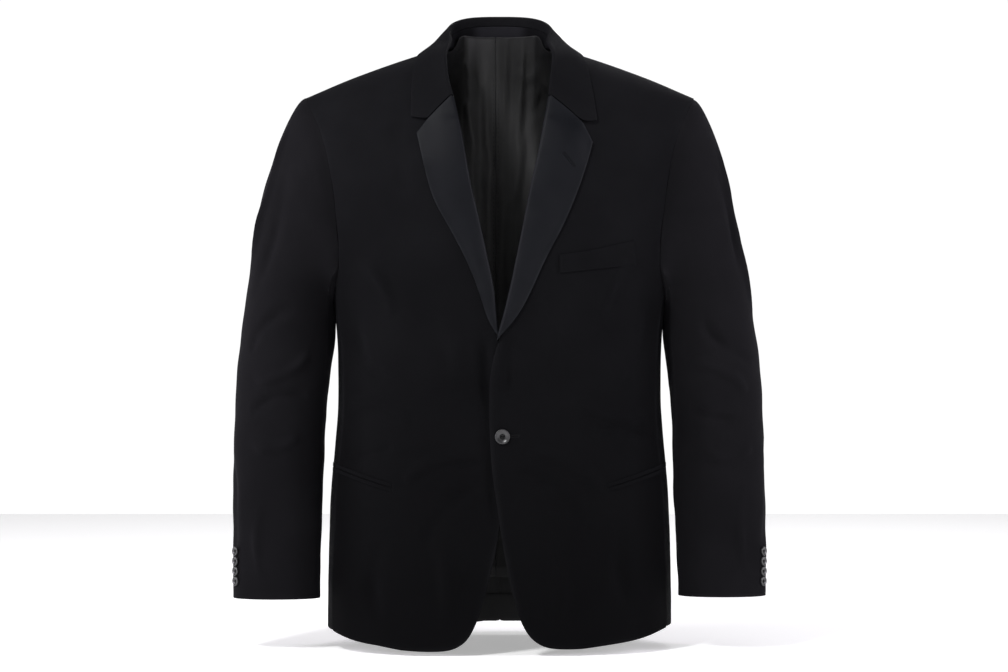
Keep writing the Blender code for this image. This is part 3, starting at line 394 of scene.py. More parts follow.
def sleeveOut(points, side):
    middleX, middleY = sleeveMiddle(points, side)
    out = np.stack([points[:, 0] - middleX, points[:, 1] - middleY, np.zeros(len(points))], 1)
    out[:, 2] = np.clip(points[:, 2] + 0.14, 0, None) * 0.5
    return out / np.maximum(np.linalg.norm(out, axis=1, keepdims=True), 1e-9)


def bodyAcross(points):
    turn = np.arctan2(points[:, 1] / bodyForm["halfDeep"], points[:, 0] / bodyForm["halfWide"])
    steps = np.linspace(-math.pi, math.pi, 721)
    ring = np.stack([np.cos(steps) * bodyForm["halfWide"], np.sin(steps) * bodyForm["halfDeep"]], 1)
    along = np.concatenate([[0], np.cumsum(np.linalg.norm(np.diff(ring, axis=0), axis=1))])
    return np.interp(turn, steps, along)


def sleeveAcross(points, side):
    middleX, middleY = sleeveMiddle(points, side)
    turn = np.arctan2(-(points[:, 1] - middleY), (points[:, 0] - middleX) * side)
    return turn * sleeveAxis["round"]


# creases: start, end, width, height (up is a ridge), bow; uneven, as the cloth shows them
frontCreasesLeft = (
    (0.030, -0.492, 0.128, -0.545, 0.0100, 0.0011, 0.010),
    (0.022, -0.515, 0.105, -0.590, 0.0120, -0.0010, 0.012),
    (0.165, -0.250, 0.125, -0.345, 0.0110, 0.0013, -0.012),
    (0.182, -0.300, 0.150, -0.420, 0.0130, -0.0012, 0.014),
    (0.185, -0.452, 0.095, -0.436, 0.0090, 0.0012, 0.008),
    (0.190, -0.480, 0.120, -0.470, 0.0080, -0.0010, -0.006),
    (0.012, -0.430, 0.014, -0.350, 0.0080, -0.0009, 0.002),
    (0.060, -0.600, 0.070, -0.715, 0.0150, 0.0012, 0.008),
    (0.150, -0.580, 0.165, -0.700, 0.0160, -0.0013, -0.010),
    (0.050, -0.300, 0.060, -0.400, 0.0160, 0.0008, 0.010),
    (0.130, -0.060, 0.118, -0.170, 0.0160, -0.0009, -0.010),
)
frontCreasesRight = (
    (0.020, -0.500, 0.118, -0.530, 0.0110, 0.0012, 0.012),
    (0.016, -0.528, 0.096, -0.612, 0.0130, -0.0009, 0.010),
    (0.170, -0.262, 0.132, -0.330, 0.0100, 0.0012, -0.010),
    (0.178, -0.330, 0.140, -0.410, 0.0120, -0.0013, 0.012),
    (0.188, -0.438, 0.108, -0.455, 0.0100, 0.0013, -0.009),
    (0.190, -0.500, 0.130, -0.486, 0.0080, -0.0009, 0.006),
    (0.016, -0.440, 0.020, -0.360, 0.0080, -0.0008, -0.002),
    (0.075, -0.590, 0.066, -0.710, 0.0150, 0.0013, -0.008),
    (0.142, -0.600, 0.150, -0.705, 0.0150, -0.0012, 0.010),
    (0.070, -0.330, 0.052, -0.420, 0.0150, 0.0008, -0.008),
    (0.120, -0.070, 0.112, -0.180, 0.0150, -0.0008, 0.008),
    (0.0190, -0.345, 0.0070, -0.585, 0.0085, -0.0012, 0.0),
)
backCreasesLeft = (
    (0.020, -0.390, 0.150, -0.372, 0.0110, -0.0014, 0.014),
    (0.010, -0.425, 0.120, -0.440, 0.0100, 0.0012, -0.010),
    (0.175, -0.240, 0.095, -0.350, 0.0120, 0.0014, 0.014),
    (0.185, -0.290, 0.120, -0.400, 0.0110, -0.0013, 0.010),
    (0.165, -0.120, 0.140, -0.250, 0.0140, -0.0012, -0.012),
    (0.010, -0.012, 0.075, -0.045, 0.0080, -0.0011, 0.008),
    (0.085, -0.480, 0.095, -0.700, 0.0170, 0.0014, 0.012),
    (0.150, -0.500, 0.160, -0.700, 0.0150, -0.0014, -0.008),
    (0.035, -0.520, 0.030, -0.690, 0.0120, -0.0010, 0.006),
)
backCreasesRight = (
    (0.018, -0.402, 0.140, -0.398, 0.0110, -0.0013, -0.012),
    (0.012, -0.445, 0.135, -0.425, 0.0110, 0.0013, 0.012),
    (0.170, -0.255, 0.105, -0.335, 0.0110, 0.0013, 0.010),
    (0.182, -0.310, 0.110, -0.385, 0.0120, -0.0014, 0.012),
    (0.160, -0.110, 0.148, -0.230, 0.0140, -0.0011, 0.010),
    (0.012, -0.016, 0.070, -0.052, 0.0080, -0.0010, -0.006),
    (0.070, -0.500, 0.082, -0.695, 0.0160, 0.0013, -0.010),
    (0.140, -0.490, 0.152, -0.690, 0.0160, -0.0013, 0.010),
    (0.040, -0.540, 0.044, -0.700, 0.0120, -0.0009, -0.005),
)
# sleeves: across (metres round the sleeve from its outer side, + to the front) and height
sleeveCreasesLeft = (
    (0.030, -0.110, 0.012, -0.330, 0.0090, 0.0014, 0.012),
    (0.055, -0.150, 0.045, -0.280, 0.0100, -0.0014, -0.008),
    (0.100, -0.330, 0.040, -0.385, 0.0090, -0.0016, 0.010),
    (0.120, -0.385, 0.050, -0.425, 0.0085, 0.0015, -0.010),
    (0.125, -0.440, 0.060, -0.455, 0.0085, -0.0015, 0.008),
    (0.110, -0.500, 0.045, -0.490, 0.0090, 0.0012, 0.008),
    (-0.020, -0.260, -0.035, -0.460, 0.0120, -0.0013, 0.012),
    (-0.090, -0.370, -0.030, -0.400, 0.0090, 0.0014, 0.010),
    (-0.095, -0.430, -0.040, -0.445, 0.0090, -0.0014, -0.008),
    (0.060, -0.540, 0.050, -0.650, 0.0110, 0.0010, 0.006),
    (0.010, -0.480, 0.020, -0.620, 0.0120, -0.0009, -0.008),
)
sleeveCreasesRight = (
    (0.036, -0.088, 0.018, -0.262, 0.0080, 0.0018, 0.010),
    (0.062, -0.140, 0.040, -0.310, 0.0110, -0.0013, 0.010),
    (0.095, -0.318, 0.045, -0.372, 0.0090, -0.0015, -0.010),
    (0.118, -0.372, 0.055, -0.410, 0.0080, 0.0016, 0.010),
    (0.122, -0.425, 0.050, -0.448, 0.0090, -0.0014, -0.008),
    (0.115, -0.478, 0.055, -0.492, 0.0085, 0.0012, 0.006),
    (-0.016, -0.240, -0.030, -0.420, 0.0120, -0.0012, -0.012),
    (-0.088, -0.360, -0.035, -0.384, 0.0090, 0.0014, -0.008),
    (-0.092, -0.415, -0.030, -0.436, 0.0095, -0.0015, 0.010),
    (0.064, -0.560, 0.060, -0.655, 0.0100, 0.0010, -0.006),
    (0.014, -0.500, 0.008, -0.640, 0.0120, -0.0010, 0.008),
)


def creaseHeight(across, high, creases):
    total = np.zeros(len(across))
    for startX, startZ, endX, endZ, width, height, bow in creases:
        run = np.array([endX - startX, endZ - startZ])
        length = np.linalg.norm(run)
        run /= length
        along = ((across - startX) * run[0] + (high - startZ) * run[1]) / length
        off = (across - startX) * -run[1] + (high - startZ) * run[0]
        off = off - bow * 4 * along * (1 - along)
        fade = np.clip(1 - (np.abs(along - 0.5) * 2) ** 3, 0, None)
        uneven = 1 - drape["uneven"] * np.cos(along * 9 + startX * 70)
        total += height * fade * np.exp(-(off / (width * drape["narrow"])) ** 2) * uneven
    return total


def rippleHeight(across, high, seed):
    total = np.zeros(len(across))
    for k in range(7):
        turn = seed * 1.7 + k * 2.399
        wave = 2 * math.pi / (0.045 + 0.017 * k)
        total += np.sin(wave * (across * math.cos(turn) + high * math.sin(turn)) + turn * 3.1) / 7
    return total


drape = {
    "body": 3.5, "sleeve": 3.0, "narrow": 0.72, "uneven": 0.35, "ripple": 0.0014,
    "neckPull": 0.0060, "neckZ": 0.016, "neckReach": 0.014, "hemZ": -0.60,
    "hem": (  # x, lift of the hem there
        (-0.21, 0.0015), (-0.15, 0.0), (-0.12, -0.0030), (-0.04, -0.0030), (-0.02, 0.0), (0.10, 0.0),
        (0.20, 0.0060)),
    "sleeveSet": {  # how each sleeve hangs: angle round it, height, angle width, height width, lift
        1: ((0, -0.260, 60, 0.150, -0.0016), (180, -0.335, 50, 0.045, 0.0036),
            (180, -0.520, 50, 0.120, 0.0030)),
        -1: ((0, -0.190, 70, 0.120, 0.0046), (0, -0.400, 60, 0.120, 0.0012),
             (180, -0.335, 50, 0.045, 0.0034)),
    },
    "leftCuffLift": 0.0030,
}


def drapeBody(piece):
    points = readPoints(piece)
    front = points[:, 1] < 0
    left = points[:, 0] > 0
    wide = np.abs(points[:, 0])
    lift = np.zeros(len(points))
    for where, creases in ((front & left, frontCreasesLeft), (front & ~left, frontCreasesRight),
                           (~front & left, backCreasesLeft), (~front & ~left, backCreasesRight)):
        lift[where] = creaseHeight(wide[where], points[where, 2], creases) * drape["body"]
    lift += rippleHeight(bodyAcross(points), points[:, 2], 1.0) * drape["ripple"]
    sideFade = np.clip((np.abs(points[:, 1]) - 0.004) / 0.030, 0, 1)
    topFade = np.clip((0.0 - points[:, 2]) / 0.05, 0, 1)
    points += bodyOut(points) * (lift * sideFade * topFade)[:, None]
    high = np.exp(-((points[:, 2] - drape["neckZ"]) / drape["neckReach"]) ** 2)
    points[:, 0] -= np.sign(points[:, 0]) * drape["neckPull"] * high * np.clip((wide - 0.045) / 0.02, 0, 1)
    hemX, hemLift = np.array(drape["hem"]).T
    low = np.clip((drape["hemZ"] - points[:, 2]) / 0.11, 0, 1)
    points[:, 2] += np.interp(points[:, 0], hemX, hemLift) * low
    writePoints(piece, points)


def drapeSleeve(piece, side):
    points = readPoints(piece)
    across = sleeveAcross(points, side)
    creases = sleeveCreasesLeft if side > 0 else sleeveCreasesRight
    lift = creaseHeight(across, points[:, 2], creases) * drape["sleeve"]
    lift += rippleHeight(across, points[:, 2], 2.0 + side) * drape["ripple"]
    fade = np.clip((-0.075 - points[:, 2]) / 0.05, 0, 1) * np.clip((points[:, 2] + 0.6775) / 0.03, 0.25, 1)
    lift = lift * fade
    turn = np.degrees(across / sleeveAxis["round"])
    for angle, high, turnWide, highWide, height in drape["sleeveSet"][side]:
        away = (turn - angle + 180) % 360 - 180
        lift += height * np.exp(-(away / turnWide) ** 2 - ((points[:, 2] - high) / highWide) ** 2)
    points += sleeveOut(points, side) * lift[:, None]
    if side > 0:
        points[:, 2] += drape["leftCuffLift"] * np.clip((-0.60 - points[:, 2]) / 0.07, 0, 1)
    writePoints(piece, points)


def layWeave(piece, across):
    points = readPoints(piece)
    flat = np.stack([across, points[:, 2]], 1)
    corners = np.zeros(len(piece.data.loops), int)
    piece.data.loops.foreach_get("vertex_index", corners)
    for old in list(piece.data.uv_layers):
        piece.data.uv_layers.remove(old)
    made = piece.data.uv_layers.new(name="weave")
    made.data.foreach_set("uv", flat[corners].ravel())


rimFacing = 0.35  # a face that turns this little outwards or inwards belongs to a cut edge
innerFacing = -0.2


def readFaces(piece, outward):
    normals, centres = np.zeros((2, len(piece.data.polygons) * 3))
    piece.data.polygons.foreach_get("normal", normals)
    piece.data.polygons.foreach_get("center", centres)
    normals, centres = normals.reshape(-1, 3), centres.reshape(-1, 3)
    return normals, centres, (normals * outward(centres)).sum(1)


def closeSeams(piece, outward, grow):
    # the cut edges come out to meet their neighbours, so no light shows through a seam
    normals, _, facing = readFaces(piece, outward)
    points = readPoints(piece)
    push = np.zeros_like(points)
    for k in np.nonzero(np.abs(facing) < rimFacing)[0]:
        push[list(piece.data.polygons[k].vertices)] += normals[k]
    size = np.linalg.norm(push, axis=1, keepdims=True)
    push = np.where(size > 0.1, push / np.maximum(size, 1e-9), 0)
    amount = grow(points) if callable(grow) else np.full(len(points), grow)
    writePoints(piece, points + push * amount[:, None])


def markRubbing(piece, outward, reach=0.0035):
    # light wear along the cut edges
    _, centres, facing = readFaces(piece, outward)
    points = readPoints(piece)
    rim = np.nonzero(np.abs(facing) < rimFacing)[0]
    tree = KDTree(max(len(rim), 1))
    for k in rim:
        tree.insert(centres[k], int(k))
    tree.balance()
    rub = np.array([tree.find(p)[2] or 1.0 for p in points]) if len(rim) else np.ones(len(points))
    rub = np.exp(-(rub / reach) ** 2)
    made = piece.data.attributes.new("rub", "FLOAT", "POINT")
    made.data.foreach_set("value", rub.astype(np.float32))
    return facing, centres


def markShade(piece, amount):
    made = piece.data.attributes.new("shade", "FLOAT", "POINT")
    made.data.foreach_set("value", np.clip(amount, 0, 1).astype(np.float32))


def dress(piece, slots, chosen):
    for made in slots:
        piece.data.materials.append(made)
    piece.data.polygons.foreach_set("material_index", np.asarray(chosen, int))
    piece.data.update()


# body of the jacket
hollow = {  # painted shade in the hollows and where light falls: how dark, and from where to where
    "side": 0.85, "sideFrom": 0.165, "sideWide": 0.040, "sideTop": -0.20, "sideSoft": 0.12,
    "lining": 0.95, "liningTop": -0.50, "liningSoft": 0.06, "liningHem": 0.84, "liningLow": -0.664,
    "foldZ": -0.672, "gapTop": -0.600, "gapLow": -0.655, "keySideShade": 0.34, "neck": 0.36, "neckSide": 0.90,
    "rim": 0.80, "rimHigh": 0.0016, "rimOut": 0.042,
    "cornerIn": 0.040, "cornerOut": 0.066, "cornerLow": -0.002,
    "stand": 0.75, "standFrom": 0.024,
}
bodyCut = {
    "levels": 3, "rimCrease": 0.62, "facingWide": 0.078, "facingShoulder": 0.050, "hemTurn": 0.036,
    "backHem": 0.080, "seamGrow": 0.00032,  # then flat width, flat length and area of each
    "fronts": (0.30, 0.76, 0.158), "sides": (0.12, 0.44, 0.046), "backs": (0.29, 0.77, 0.171),
}


def bodyPiece(nodeName, pieceName, facing=False):
    piece = liftCopy(nodeName, pieceName, bodyCut["levels"], bodyCut["rimCrease"])
    closeSeams(piece, bodyOut, bodyCut["seamGrow"])
    drapeBody(piece)
    layWeave(piece, bodyAcross(readPoints(piece)))
    x, _, z = readPoints(piece).T
    # painted shade on the body's sides below the sleeves
    side = np.clip((np.abs(x) - hollow["sideFrom"]) / hollow["sideWide"], 0, 1)
    shade = hollow["side"] * side * np.clip((hollow["sideTop"] - z) / hollow["sideSoft"], 0, 1)
    if nodeName.startswith("back"):
        # painted shade under the collar, where the back shows beside the corners of its lining
        corner = (np.abs(x) > hollow["cornerIn"]) & (np.abs(x) < hollow["cornerOut"])
        corner &= z > hollow["cornerLow"]
        shade = np.maximum(shade, hollow["neckSide"] * corner)
    markShade(piece, shade)
    turned, centres = markRubbing(piece, bodyOut)
    inside = turned < innerFacing
    lowest = centres[:, 2].min()
    # the back's inside just above the hem takes the lighter copy of the wool: painted light
    turnedUp = inside & (centres[:, 2] < lowest + bodyCut["backHem"]) & nodeName.startswith("back")
    inside &= centres[:, 2] > lowest + bodyCut["hemTurn"]
    if facing:
        rise = np.clip((centres[:, 2] + 0.36) / 0.33, 0, 1)
        inside &= np.abs(centres[:, 0]) > bodyCut["facingWide"] + rise * bodyCut["facingShoulder"]
    dress(piece, (wool, lining, insideWoolLit), np.where(turnedUp, 2, inside))
    return piece


pieces = {}
for side, word in ((1, "left"), (-1, "right")):
    tail = word.capitalize()
    pieces["front" + tail] = bodyPiece("front_" + word, "front" + tail, facing=True)
    pieces["side" + tail] = bodyPiece("side_" + word, "side" + tail)
    pieces["back" + tail] = bodyPiece("back_" + word, "back" + tail)
print("body panels draped")

# sleeves
sleeveCut = {"levels": 3, "rimCrease": 0.62, "cuffTurn": 0.030, "seamGrow": 0.0006,
             "headGrow": 0.0011, "headZ": -0.31,
             "top": (0.24, 0.64, 0.119), "under": (0.16, 0.56, 0.071)}
for side, word in ((1, "left"), (-1, "right")):
    for part in ("top", "under"):
        pieceName = "sleeve" + part.capitalize() + word.capitalize()
        piece = liftCopy(f"sleeve_{part}_{word}", pieceName, sleeveCut["levels"], sleeveCut["rimCrease"])
        closeSeams(piece, lambda points: sleeveOut(points, side),
                   lambda points: np.where(points[:, 2] > sleeveCut["headZ"],
                                           sleeveCut["headGrow"], sleeveCut["seamGrow"]))
        drapeSleeve(piece, side)
        layWeave(piece, sleeveAcross(readPoints(piece), side))
        turned, centres = markRubbing(piece, lambda points: sleeveOut(points, side))
        inside = (turned < innerFacing) & (centres[:, 2] > centres[:, 2].min() + sleeveCut["cuffTurn"])
        dress(piece, (sleeveWoolLit, lining), inside)
        pieces[pieceName] = piece
print("sleeves draped")

# lapels, collar, lining and hem
trimRub = 0.0018
trimCut = {  # node, levels, crease, material, slot, flat, area
    "lapelLeft": ("lapel_left", 3, 0.7, satin, "satin", (0.115, 0.30), 0.0170),
    "lapelRight": ("lapel_right", 3, 0.7, satin, "satin", (0.110, 0.29), 0.0148),
    "collarLeaf": ("collar", 2, 0.7, wool, "wool", (0.095, 0.46), 0.0315),
    "collarStand": ("collar_stand", 2, 0.7, standFeltLit, "wool", (0.032, 0.34), 0.0045),
    "liningLeft": ("lining_left", 3, 0.6, lining, "lining", (0.22, 0.72), 0.133),
    "liningRight": ("lining_right", 3, 0.6, lining, "lining", (0.22, 0.72), 0.133),
    "hemTurnUp": ("hem_turn_up", 2, 0.6, insideWoolLit, "wool", (0.32, 0.035), 0.0105),
}
liningFall = {
    "seamX": -0.0050, "seamSpread": 0.020, "topRise": 0.0055, "sideRise": 0.0080, "foldLift": 1.9,
    "bias": 0.0022, "puckerBow": 0.004,
    "folds": (  # x at the top, x at the bottom, width, height
        (-0.0050, -0.0050, 0.0030, -0.0022), (-0.0180, -0.0110, 0.0050, 0.0030),
        (-0.0290, -0.0190, 0.0042, -0.0024), (-0.0400, -0.0280, 0.0050, 0.0026),
        (-0.0520, -0.0400, 0.0060, -0.0022), (-0.0660, -0.0520, 0.0070, 0.0022),
        (0.0070, 0.0020, 0.0045, 0.0028), (0.0170, 0.0090, 0.0040, -0.0022),
        (0.0280, 0.0160, 0.0050, 0.0030), (0.0400, 0.0260, 0.0050, -0.0024),
        (0.0520, 0.0380, 0.0060, 0.0024), (0.0680, 0.0520, 0.0080, -0.0020),
    ),
    "puckers": (  # start x, start z, end x, end z, width, height: pulled in under the neck
        (-0.062, 0.012, -0.026, -0.034, 0.0050, 0.0022), (-0.068, -0.004, -0.036, -0.060, 0.0055, -0.0020),
        (0.060, 0.012, 0.030, -0.030, 0.0050, 0.0022), (0.066, -0.008, 0.040, -0.072, 0.0055, -0.0020),
        (-0.034, -0.080, -0.012, -0.160, 0.0060, -0.0018), (0.030, -0.100, 0.010, -0.190, 0.0060, 0.0018),
        (0.048, -0.030, 0.030, -0.110, 0.0050, 0.0020), (-0.046, -0.050, -0.030, -0.130, 0.0050, 0.0020),
    ),
}
standFoot = {"z": 0.0325, "curve": 0.0051, "halfWide": 0.045, "reach": 0.008, "drop": 0.0095,
             "sideLess": 0.0028, "inward": 0.0018}
cornerTips = {"lapel_left": ((0.1142, -0.1149), (0.1022, -0.0933))}
lapelTip = {"from": -0.290, 1: (-0.0030, -0.3585), -1: (0.0010, -0.3560)}


def hangLining(piece):
    # the lining rises to the stand, swings to its seam and falls in soft folds
    points = readPoints(piece)
    x, z = points[:, 0].copy(), points[:, 2].copy()
    wide = np.abs(x)
    high = np.clip((z + 0.07) / 0.08, 0, 1)
    high = high * high * (3 - 2 * high)
    near = np.clip((0.070 - wide) / 0.026, 0, 1)
    rise = liningFall["topRise"] + liningFall["sideRise"] * (wide / 0.040) ** 2
    rise = rise * high * near * near * (3 - 2 * near)
    points[:, 2] += rise
    points[:, 1] -= rise * 0.70 + 0.0008 * high
    points[:, 0] += liningFall["seamX"] * np.exp(-(x / liningFall["seamSpread"]) ** 2)
    down = np.clip((0.03 - z) / 0.40, 0, 1)
    lift = np.zeros(len(points))
    for top, bottom, width, height in liningFall["folds"]:
        middle = top + (bottom - top) * down + 0.0020 * np.sin(z * 38 + top * 300)
        uneven = 0.55 + 0.45 * np.sin(z * 21 + top * 90)
        lift += height * np.exp(-((points[:, 0] - middle) / width) ** 2) * uneven
    puckers = [(*row, liningFall["puckerBow"]) for row in liningFall["puckers"]]
    lift += creaseHeight(points[:, 0], points[:, 2], puckers)
    lift *= np.clip((0.024 - z) / 0.03, 0, 1) * np.clip((z + 0.66) / 0.06, 0, 1)
    lift = lift * liningFall["foldLift"] + liningFall["bias"] * np.clip((0.0 - z) / 0.06, 0, 1)
    points[:, 1] -= np.clip(lift, -0.0004, None)
    writePoints(piece, points)


def lowerStand(piece):
    # the stand's foot goes down inside the neck edge, so that no light comes in under it
    points = readPoints(piece)
    wide = np.abs(points[:, 0]) / standFoot["halfWide"]
    foot = standFoot["z"] - standFoot["curve"] * wide ** 2
    share = np.clip((foot + standFoot["reach"] - points[:, 2]) / standFoot["reach"], 0, 1)
    inward = points[:, :2] / np.maximum(np.linalg.norm(points[:, :2], axis=1, keepdims=True), 1e-6)
    atSide = np.clip(wide / 0.8, 0, 1) ** 2
    points[:, 2] -= share * (standFoot["drop"] - standFoot["sideLess"] * atSide)
    points[:, :2] -= inward * (share * standFoot["inward"] * (1 - atSide))[:, None]
    writePoints(piece, points)


def pullLapelTip(piece, side):
    points = readPoints(piece)
    tipX, tipZ = lapelTip[side]
    lowest = points[:, 2].min()
    share = np.clip((lapelTip["from"] - points[:, 2]) / (lapelTip["from"] - lowest), 0, 1)
    points[:, 2] += (tipZ - lowest) * share ** 2
    points[:, 0] += (tipX - points[:, 0]) * share ** 6
    writePoints(piece, points)


def shadeLining(piece):
    # painted shade inside the jacket: darker low down and in the gap above the hem, under the neck, beside
    # the lapels and along the top rim, and more on the side the key light reaches
    x, _, z = readPoints(piece).T
    low = hollow["lining"] * np.clip((hollow["liningTop"] - z) / hollow["liningSoft"], 0, 1)
    low *= np.clip((z - hollow["liningLow"]) / 0.012, hollow["liningHem"], 1)
    low = np.maximum(low, hollow["lining"] * (z < hollow["foldZ"]))
    upper = hollow["neck"] * np.clip((z + 0.10) / 0.08, 0, 1)
    upper += hollow["keySideShade"] * np.clip((x + 0.012) / 0.014, 0, 1) * np.clip((z + 0.55) / 0.2, 0, 1)
    edge = hollow["neckSide"] * np.clip((np.abs(x) - 0.034) / 0.012, 0, 1) * np.clip((z + 0.20) / 0.14, 0, 1)
    low = np.maximum(low, np.clip((hollow["gapTop"] - z) / 0.02, 0, 1) * (z > hollow["gapLow"]))
    strip = np.digitize(x, np.arange(-0.08, 0.08, 0.004))  # the top rim, found strip by strip
    top = np.full(strip.max() + 1, z.min())
    np.maximum.at(top, strip, z)
    rim = (z > top[strip] - hollow["rimHigh"]) & (np.abs(x) < hollow["rimOut"])
    markShade(piece, np.maximum(np.maximum(low + upper, edge), hollow["rim"] * rim))


for pieceName, (nodeName, levels, rim, made, slotName, flat, area) in trimCut.items():
    isLining = nodeName.startswith("lining")
    piece = liftCopy(nodeName, pieceName, levels, rim, not isLining, cornerTips.get(nodeName, ()))
    if isLining:
        hangLining(piece)
    if nodeName == "collar_stand":
        lowerStand(piece)
    if nodeName.startswith("lapel"):
        pullLapelTip(piece, 1 if "Left" in pieceName else -1)
    drapeBody(piece)
    layWeave(piece, bodyAcross(readPoints(piece)))
    if isLining:
        shadeLining(piece)
    if nodeName == "collar_stand":
        # painted shade on the stand's sides inside the neck
        wide = np.abs(readPoints(piece)[:, 0])
        markShade(piece, hollow["stand"] * np.clip((wide - hollow["standFrom"]) / 0.012, 0, 1))
    markRubbing(piece, bodyOut, trimRub)
    dress(piece, (made,), np.zeros(len(piece.data.polygons)))
    pieces[pieceName] = piece
print("lapels, collar and lining made")

# pockets
pocketCut = {  # node, flat width, flat length, area
    "breastWelt": ("breast_welt", 0.10, 0.025, 0.0025),
    "jetUpperLeft": ("pocket_jet_upper_left", 0.010, 0.078, 0.00070),
    "jetLowerLeft": ("pocket_jet_lower_left", 0.010, 0.078, 0.00060),
    "jetUpperRight": ("pocket_jet_upper_right", 0.010, 0.078, 0.00070),
    "jetLowerRight": ("pocket_jet_lower_right", 0.010, 0.078, 0.00060),
}
mouth = {"x": (0.1315, 0.1604, 0.1839, 0.2060), "z": (-0.5385, -0.5300, -0.5225, -0.5155),
         "outer": 0.0053, "keep": 0.86, "sink": 0.0007, "endSink": 0.0012,
         "levels": 3, "rimCrease": 0.55, "rub": 0.0005}


def openPocket(piece, way):
    # each jet is pressed flat and drawn back from the slit, which shows as a dark line
    points = readPoints(piece)
    wide = np.abs(points[:, 0])
    line = np.interp(wide, mouth["x"], mouth["z"])
    edge = line + way * mouth["outer"]
    points[:, 2] = edge + (points[:, 2] - edge) * mouth["keep"]
    sink = mouth["sink"] + mouth["endSink"] * np.clip((0.1460 - wide) / 0.014, 0, 1)
    points -= bodyOut(points) * sink[:, None]
    writePoints(piece, points)


for pieceName, (nodeName, wide, long, area) in pocketCut.items():
    piece = liftCopy(nodeName, pieceName, mouth["levels"], mouth["rimCrease"], sharpCorners=True)
    if pieceName.startswith("jet"):
        openPocket(piece, 1 if "Upper" in pieceName else -1)
    else:
        points = readPoints(piece)
        writePoints(piece, points - bodyOut(points) * mouth["sink"])
    drapeBody(piece)
    layWeave(piece, bodyAcross(readPoints(piece)))
    markRubbing(piece, bodyOut, mouth["rub"])
    dress(piece, (wool,), np.zeros(len(piece.data.polygons)))
    pieces[pieceName] = piece
print("pockets made")

# buttons
buttonCut = {
    "sides": 48, "rimShare": 0.20, "bowl": ((0.13, 0.20), (0.16, 0.17), (0.13, 0.07)),  # inset, sink
    "edgeRound": 0.095, "holeShare": 0.095, "holeAway": 0.17, "threadShare": 0.030, "threadFlat": 0.216,
    "wellShare": 0.42,
}


def seatOf(nodeName, outward):
    # middle, outward axis, thickness, diameter and reach of a button of the CAD
    points = readPoints(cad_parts[nodeName])
    middle = points.mean(0)
    _, _, axes = np.linalg.svd(points - middle, full_matrices=False)
    normal = axes[2] * (1 if axes[2] @ outward > 0 else -1)
    reach = (points - middle) @ normal
    wide = (points - middle) @ axes[0]
    return Vector(middle), Vector(normal), reach.max() - reach.min(), wide.max() - wide.min(), reach


def pickFaces(piece, test):
    bpy.ops.mesh.select_all(action="DESELECT")
    bpy.ops.object.mode_set(mode="OBJECT")
    for face in piece.data.polygons:
        face.select = test(face)
    bpy.ops.object.mode_set(mode="EDIT")


def turnButton(nodeName, pieceName, outward):
    middle, normal, thick, wide, reach = seatOf(nodeName, np.array(outward, float))
    radius = wide / 2
    selectNothing()
    bpy.ops.mesh.primitive_cylinder_add(vertices=buttonCut["sides"], radius=radius, depth=thick)
    piece = bpy.context.object
    piece.name = pieceName
    bpy.ops.object.mode_set(mode="EDIT")
    bpy.ops.mesh.select_mode(type="FACE")
    pickFaces(piece, lambda face: face.normal.z > 0.9)
    bpy.ops.mesh.inset(thickness=radius * buttonCut["rimShare"])
    for inset, sink in buttonCut["bowl"]:
        bpy.ops.mesh.inset(thickness=radius * inset)
        bpy.ops.transform.translate(value=(0, 0, -thick * sink))
    pickFaces(piece, lambda face: face.normal.z < -0.9)
    bpy.ops.mesh.inset(thickness=radius * 0.3)
    bpy.ops.transform.translate(value=(0, 0, thick * 0.04))
    bpy.ops.object.mode_set(mode="OBJECT")
    applyModifier(piece, "BEVEL", width=radius * buttonCut["edgeRound"], segments=4, limit_method="ANGLE",
                  angle_limit=math.radians(24))
    away = radius * buttonCut["holeAway"]
    for stepX, stepY in ((1, 1), (1, -1), (-1, 1), (-1, -1)):
        selectNothing()
        bpy.ops.mesh.primitive_cylinder_add(
            vertices=16, radius=radius * buttonCut["holeShare"], depth=thick * 3,
            location=(away * stepX, away * stepY, 0))
        drill = bpy.context.object
        applyModifier(piece, "BOOLEAN", operation="DIFFERENCE", object=drill, solver="EXACT")
        bpy.data.objects.remove(drill)
    workOn(piece)
    bpy.ops.object.shade_smooth_by_angle(angle=math.radians(35))
    threads = []
    for stepY in (1, -1):
        selectNothing()
        bpy.ops.mesh.primitive_torus_add(
            major_segments=28, minor_segments=8, major_radius=away,
            minor_radius=radius * buttonCut["threadShare"],
            location=(0, away * stepY, thick * 0.06), rotation=(math.pi / 2, 0, 0))
        loop = bpy.context.object
        loop.scale = (1, buttonCut["threadFlat"] * radius / away, 1)
        threads.append(loop)
    selectNothing()
    for loop in threads:
        loop.select_set(True)
    bpy.context.view_layer.objects.active = threads[0]
    bpy.ops.object.join()
    thread = bpy.context.object
    thread.name = pieceName + "Thread"
    bpy.ops.object.shade_smooth()
    upright = normal.to_track_quat("Z", "Y").to_matrix().to_4x4()
    middle = middle + normal * ((reach.max() + reach.min()) / 2)
    well = [face.normal.z > 0.75 and math.hypot(*face.center[:2]) < radius * buttonCut["wellShare"]
            for face in piece.data.polygons]
    for made, material in ((piece, horn), (thread, paleThread)):
        made.matrix_world = Matrix.Translation(middle) @ upright @ made.matrix_world
        workOn(made)
        bpy.ops.object.transform_apply(location=True, rotation=True, scale=True)
        made.data.materials.clear()
        made.data.materials.append(material)
        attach(made, "root")
    piece.data.materials.append(hornWell)
    piece.data.polygons.foreach_set("material_index", np.array(well, int))
    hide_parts(nodeName)


turnButton("button_front", "frontButton", (0, -1, 0))
for side, word in ((1, "left"), (-1, "right")):
    for k in range(1, 5):
        turnButton(f"button_cuff_{k}_{word}", f"cuffButton{k}{word.capitalize()}", (side, -0.3, 0))
print("buttons turned")

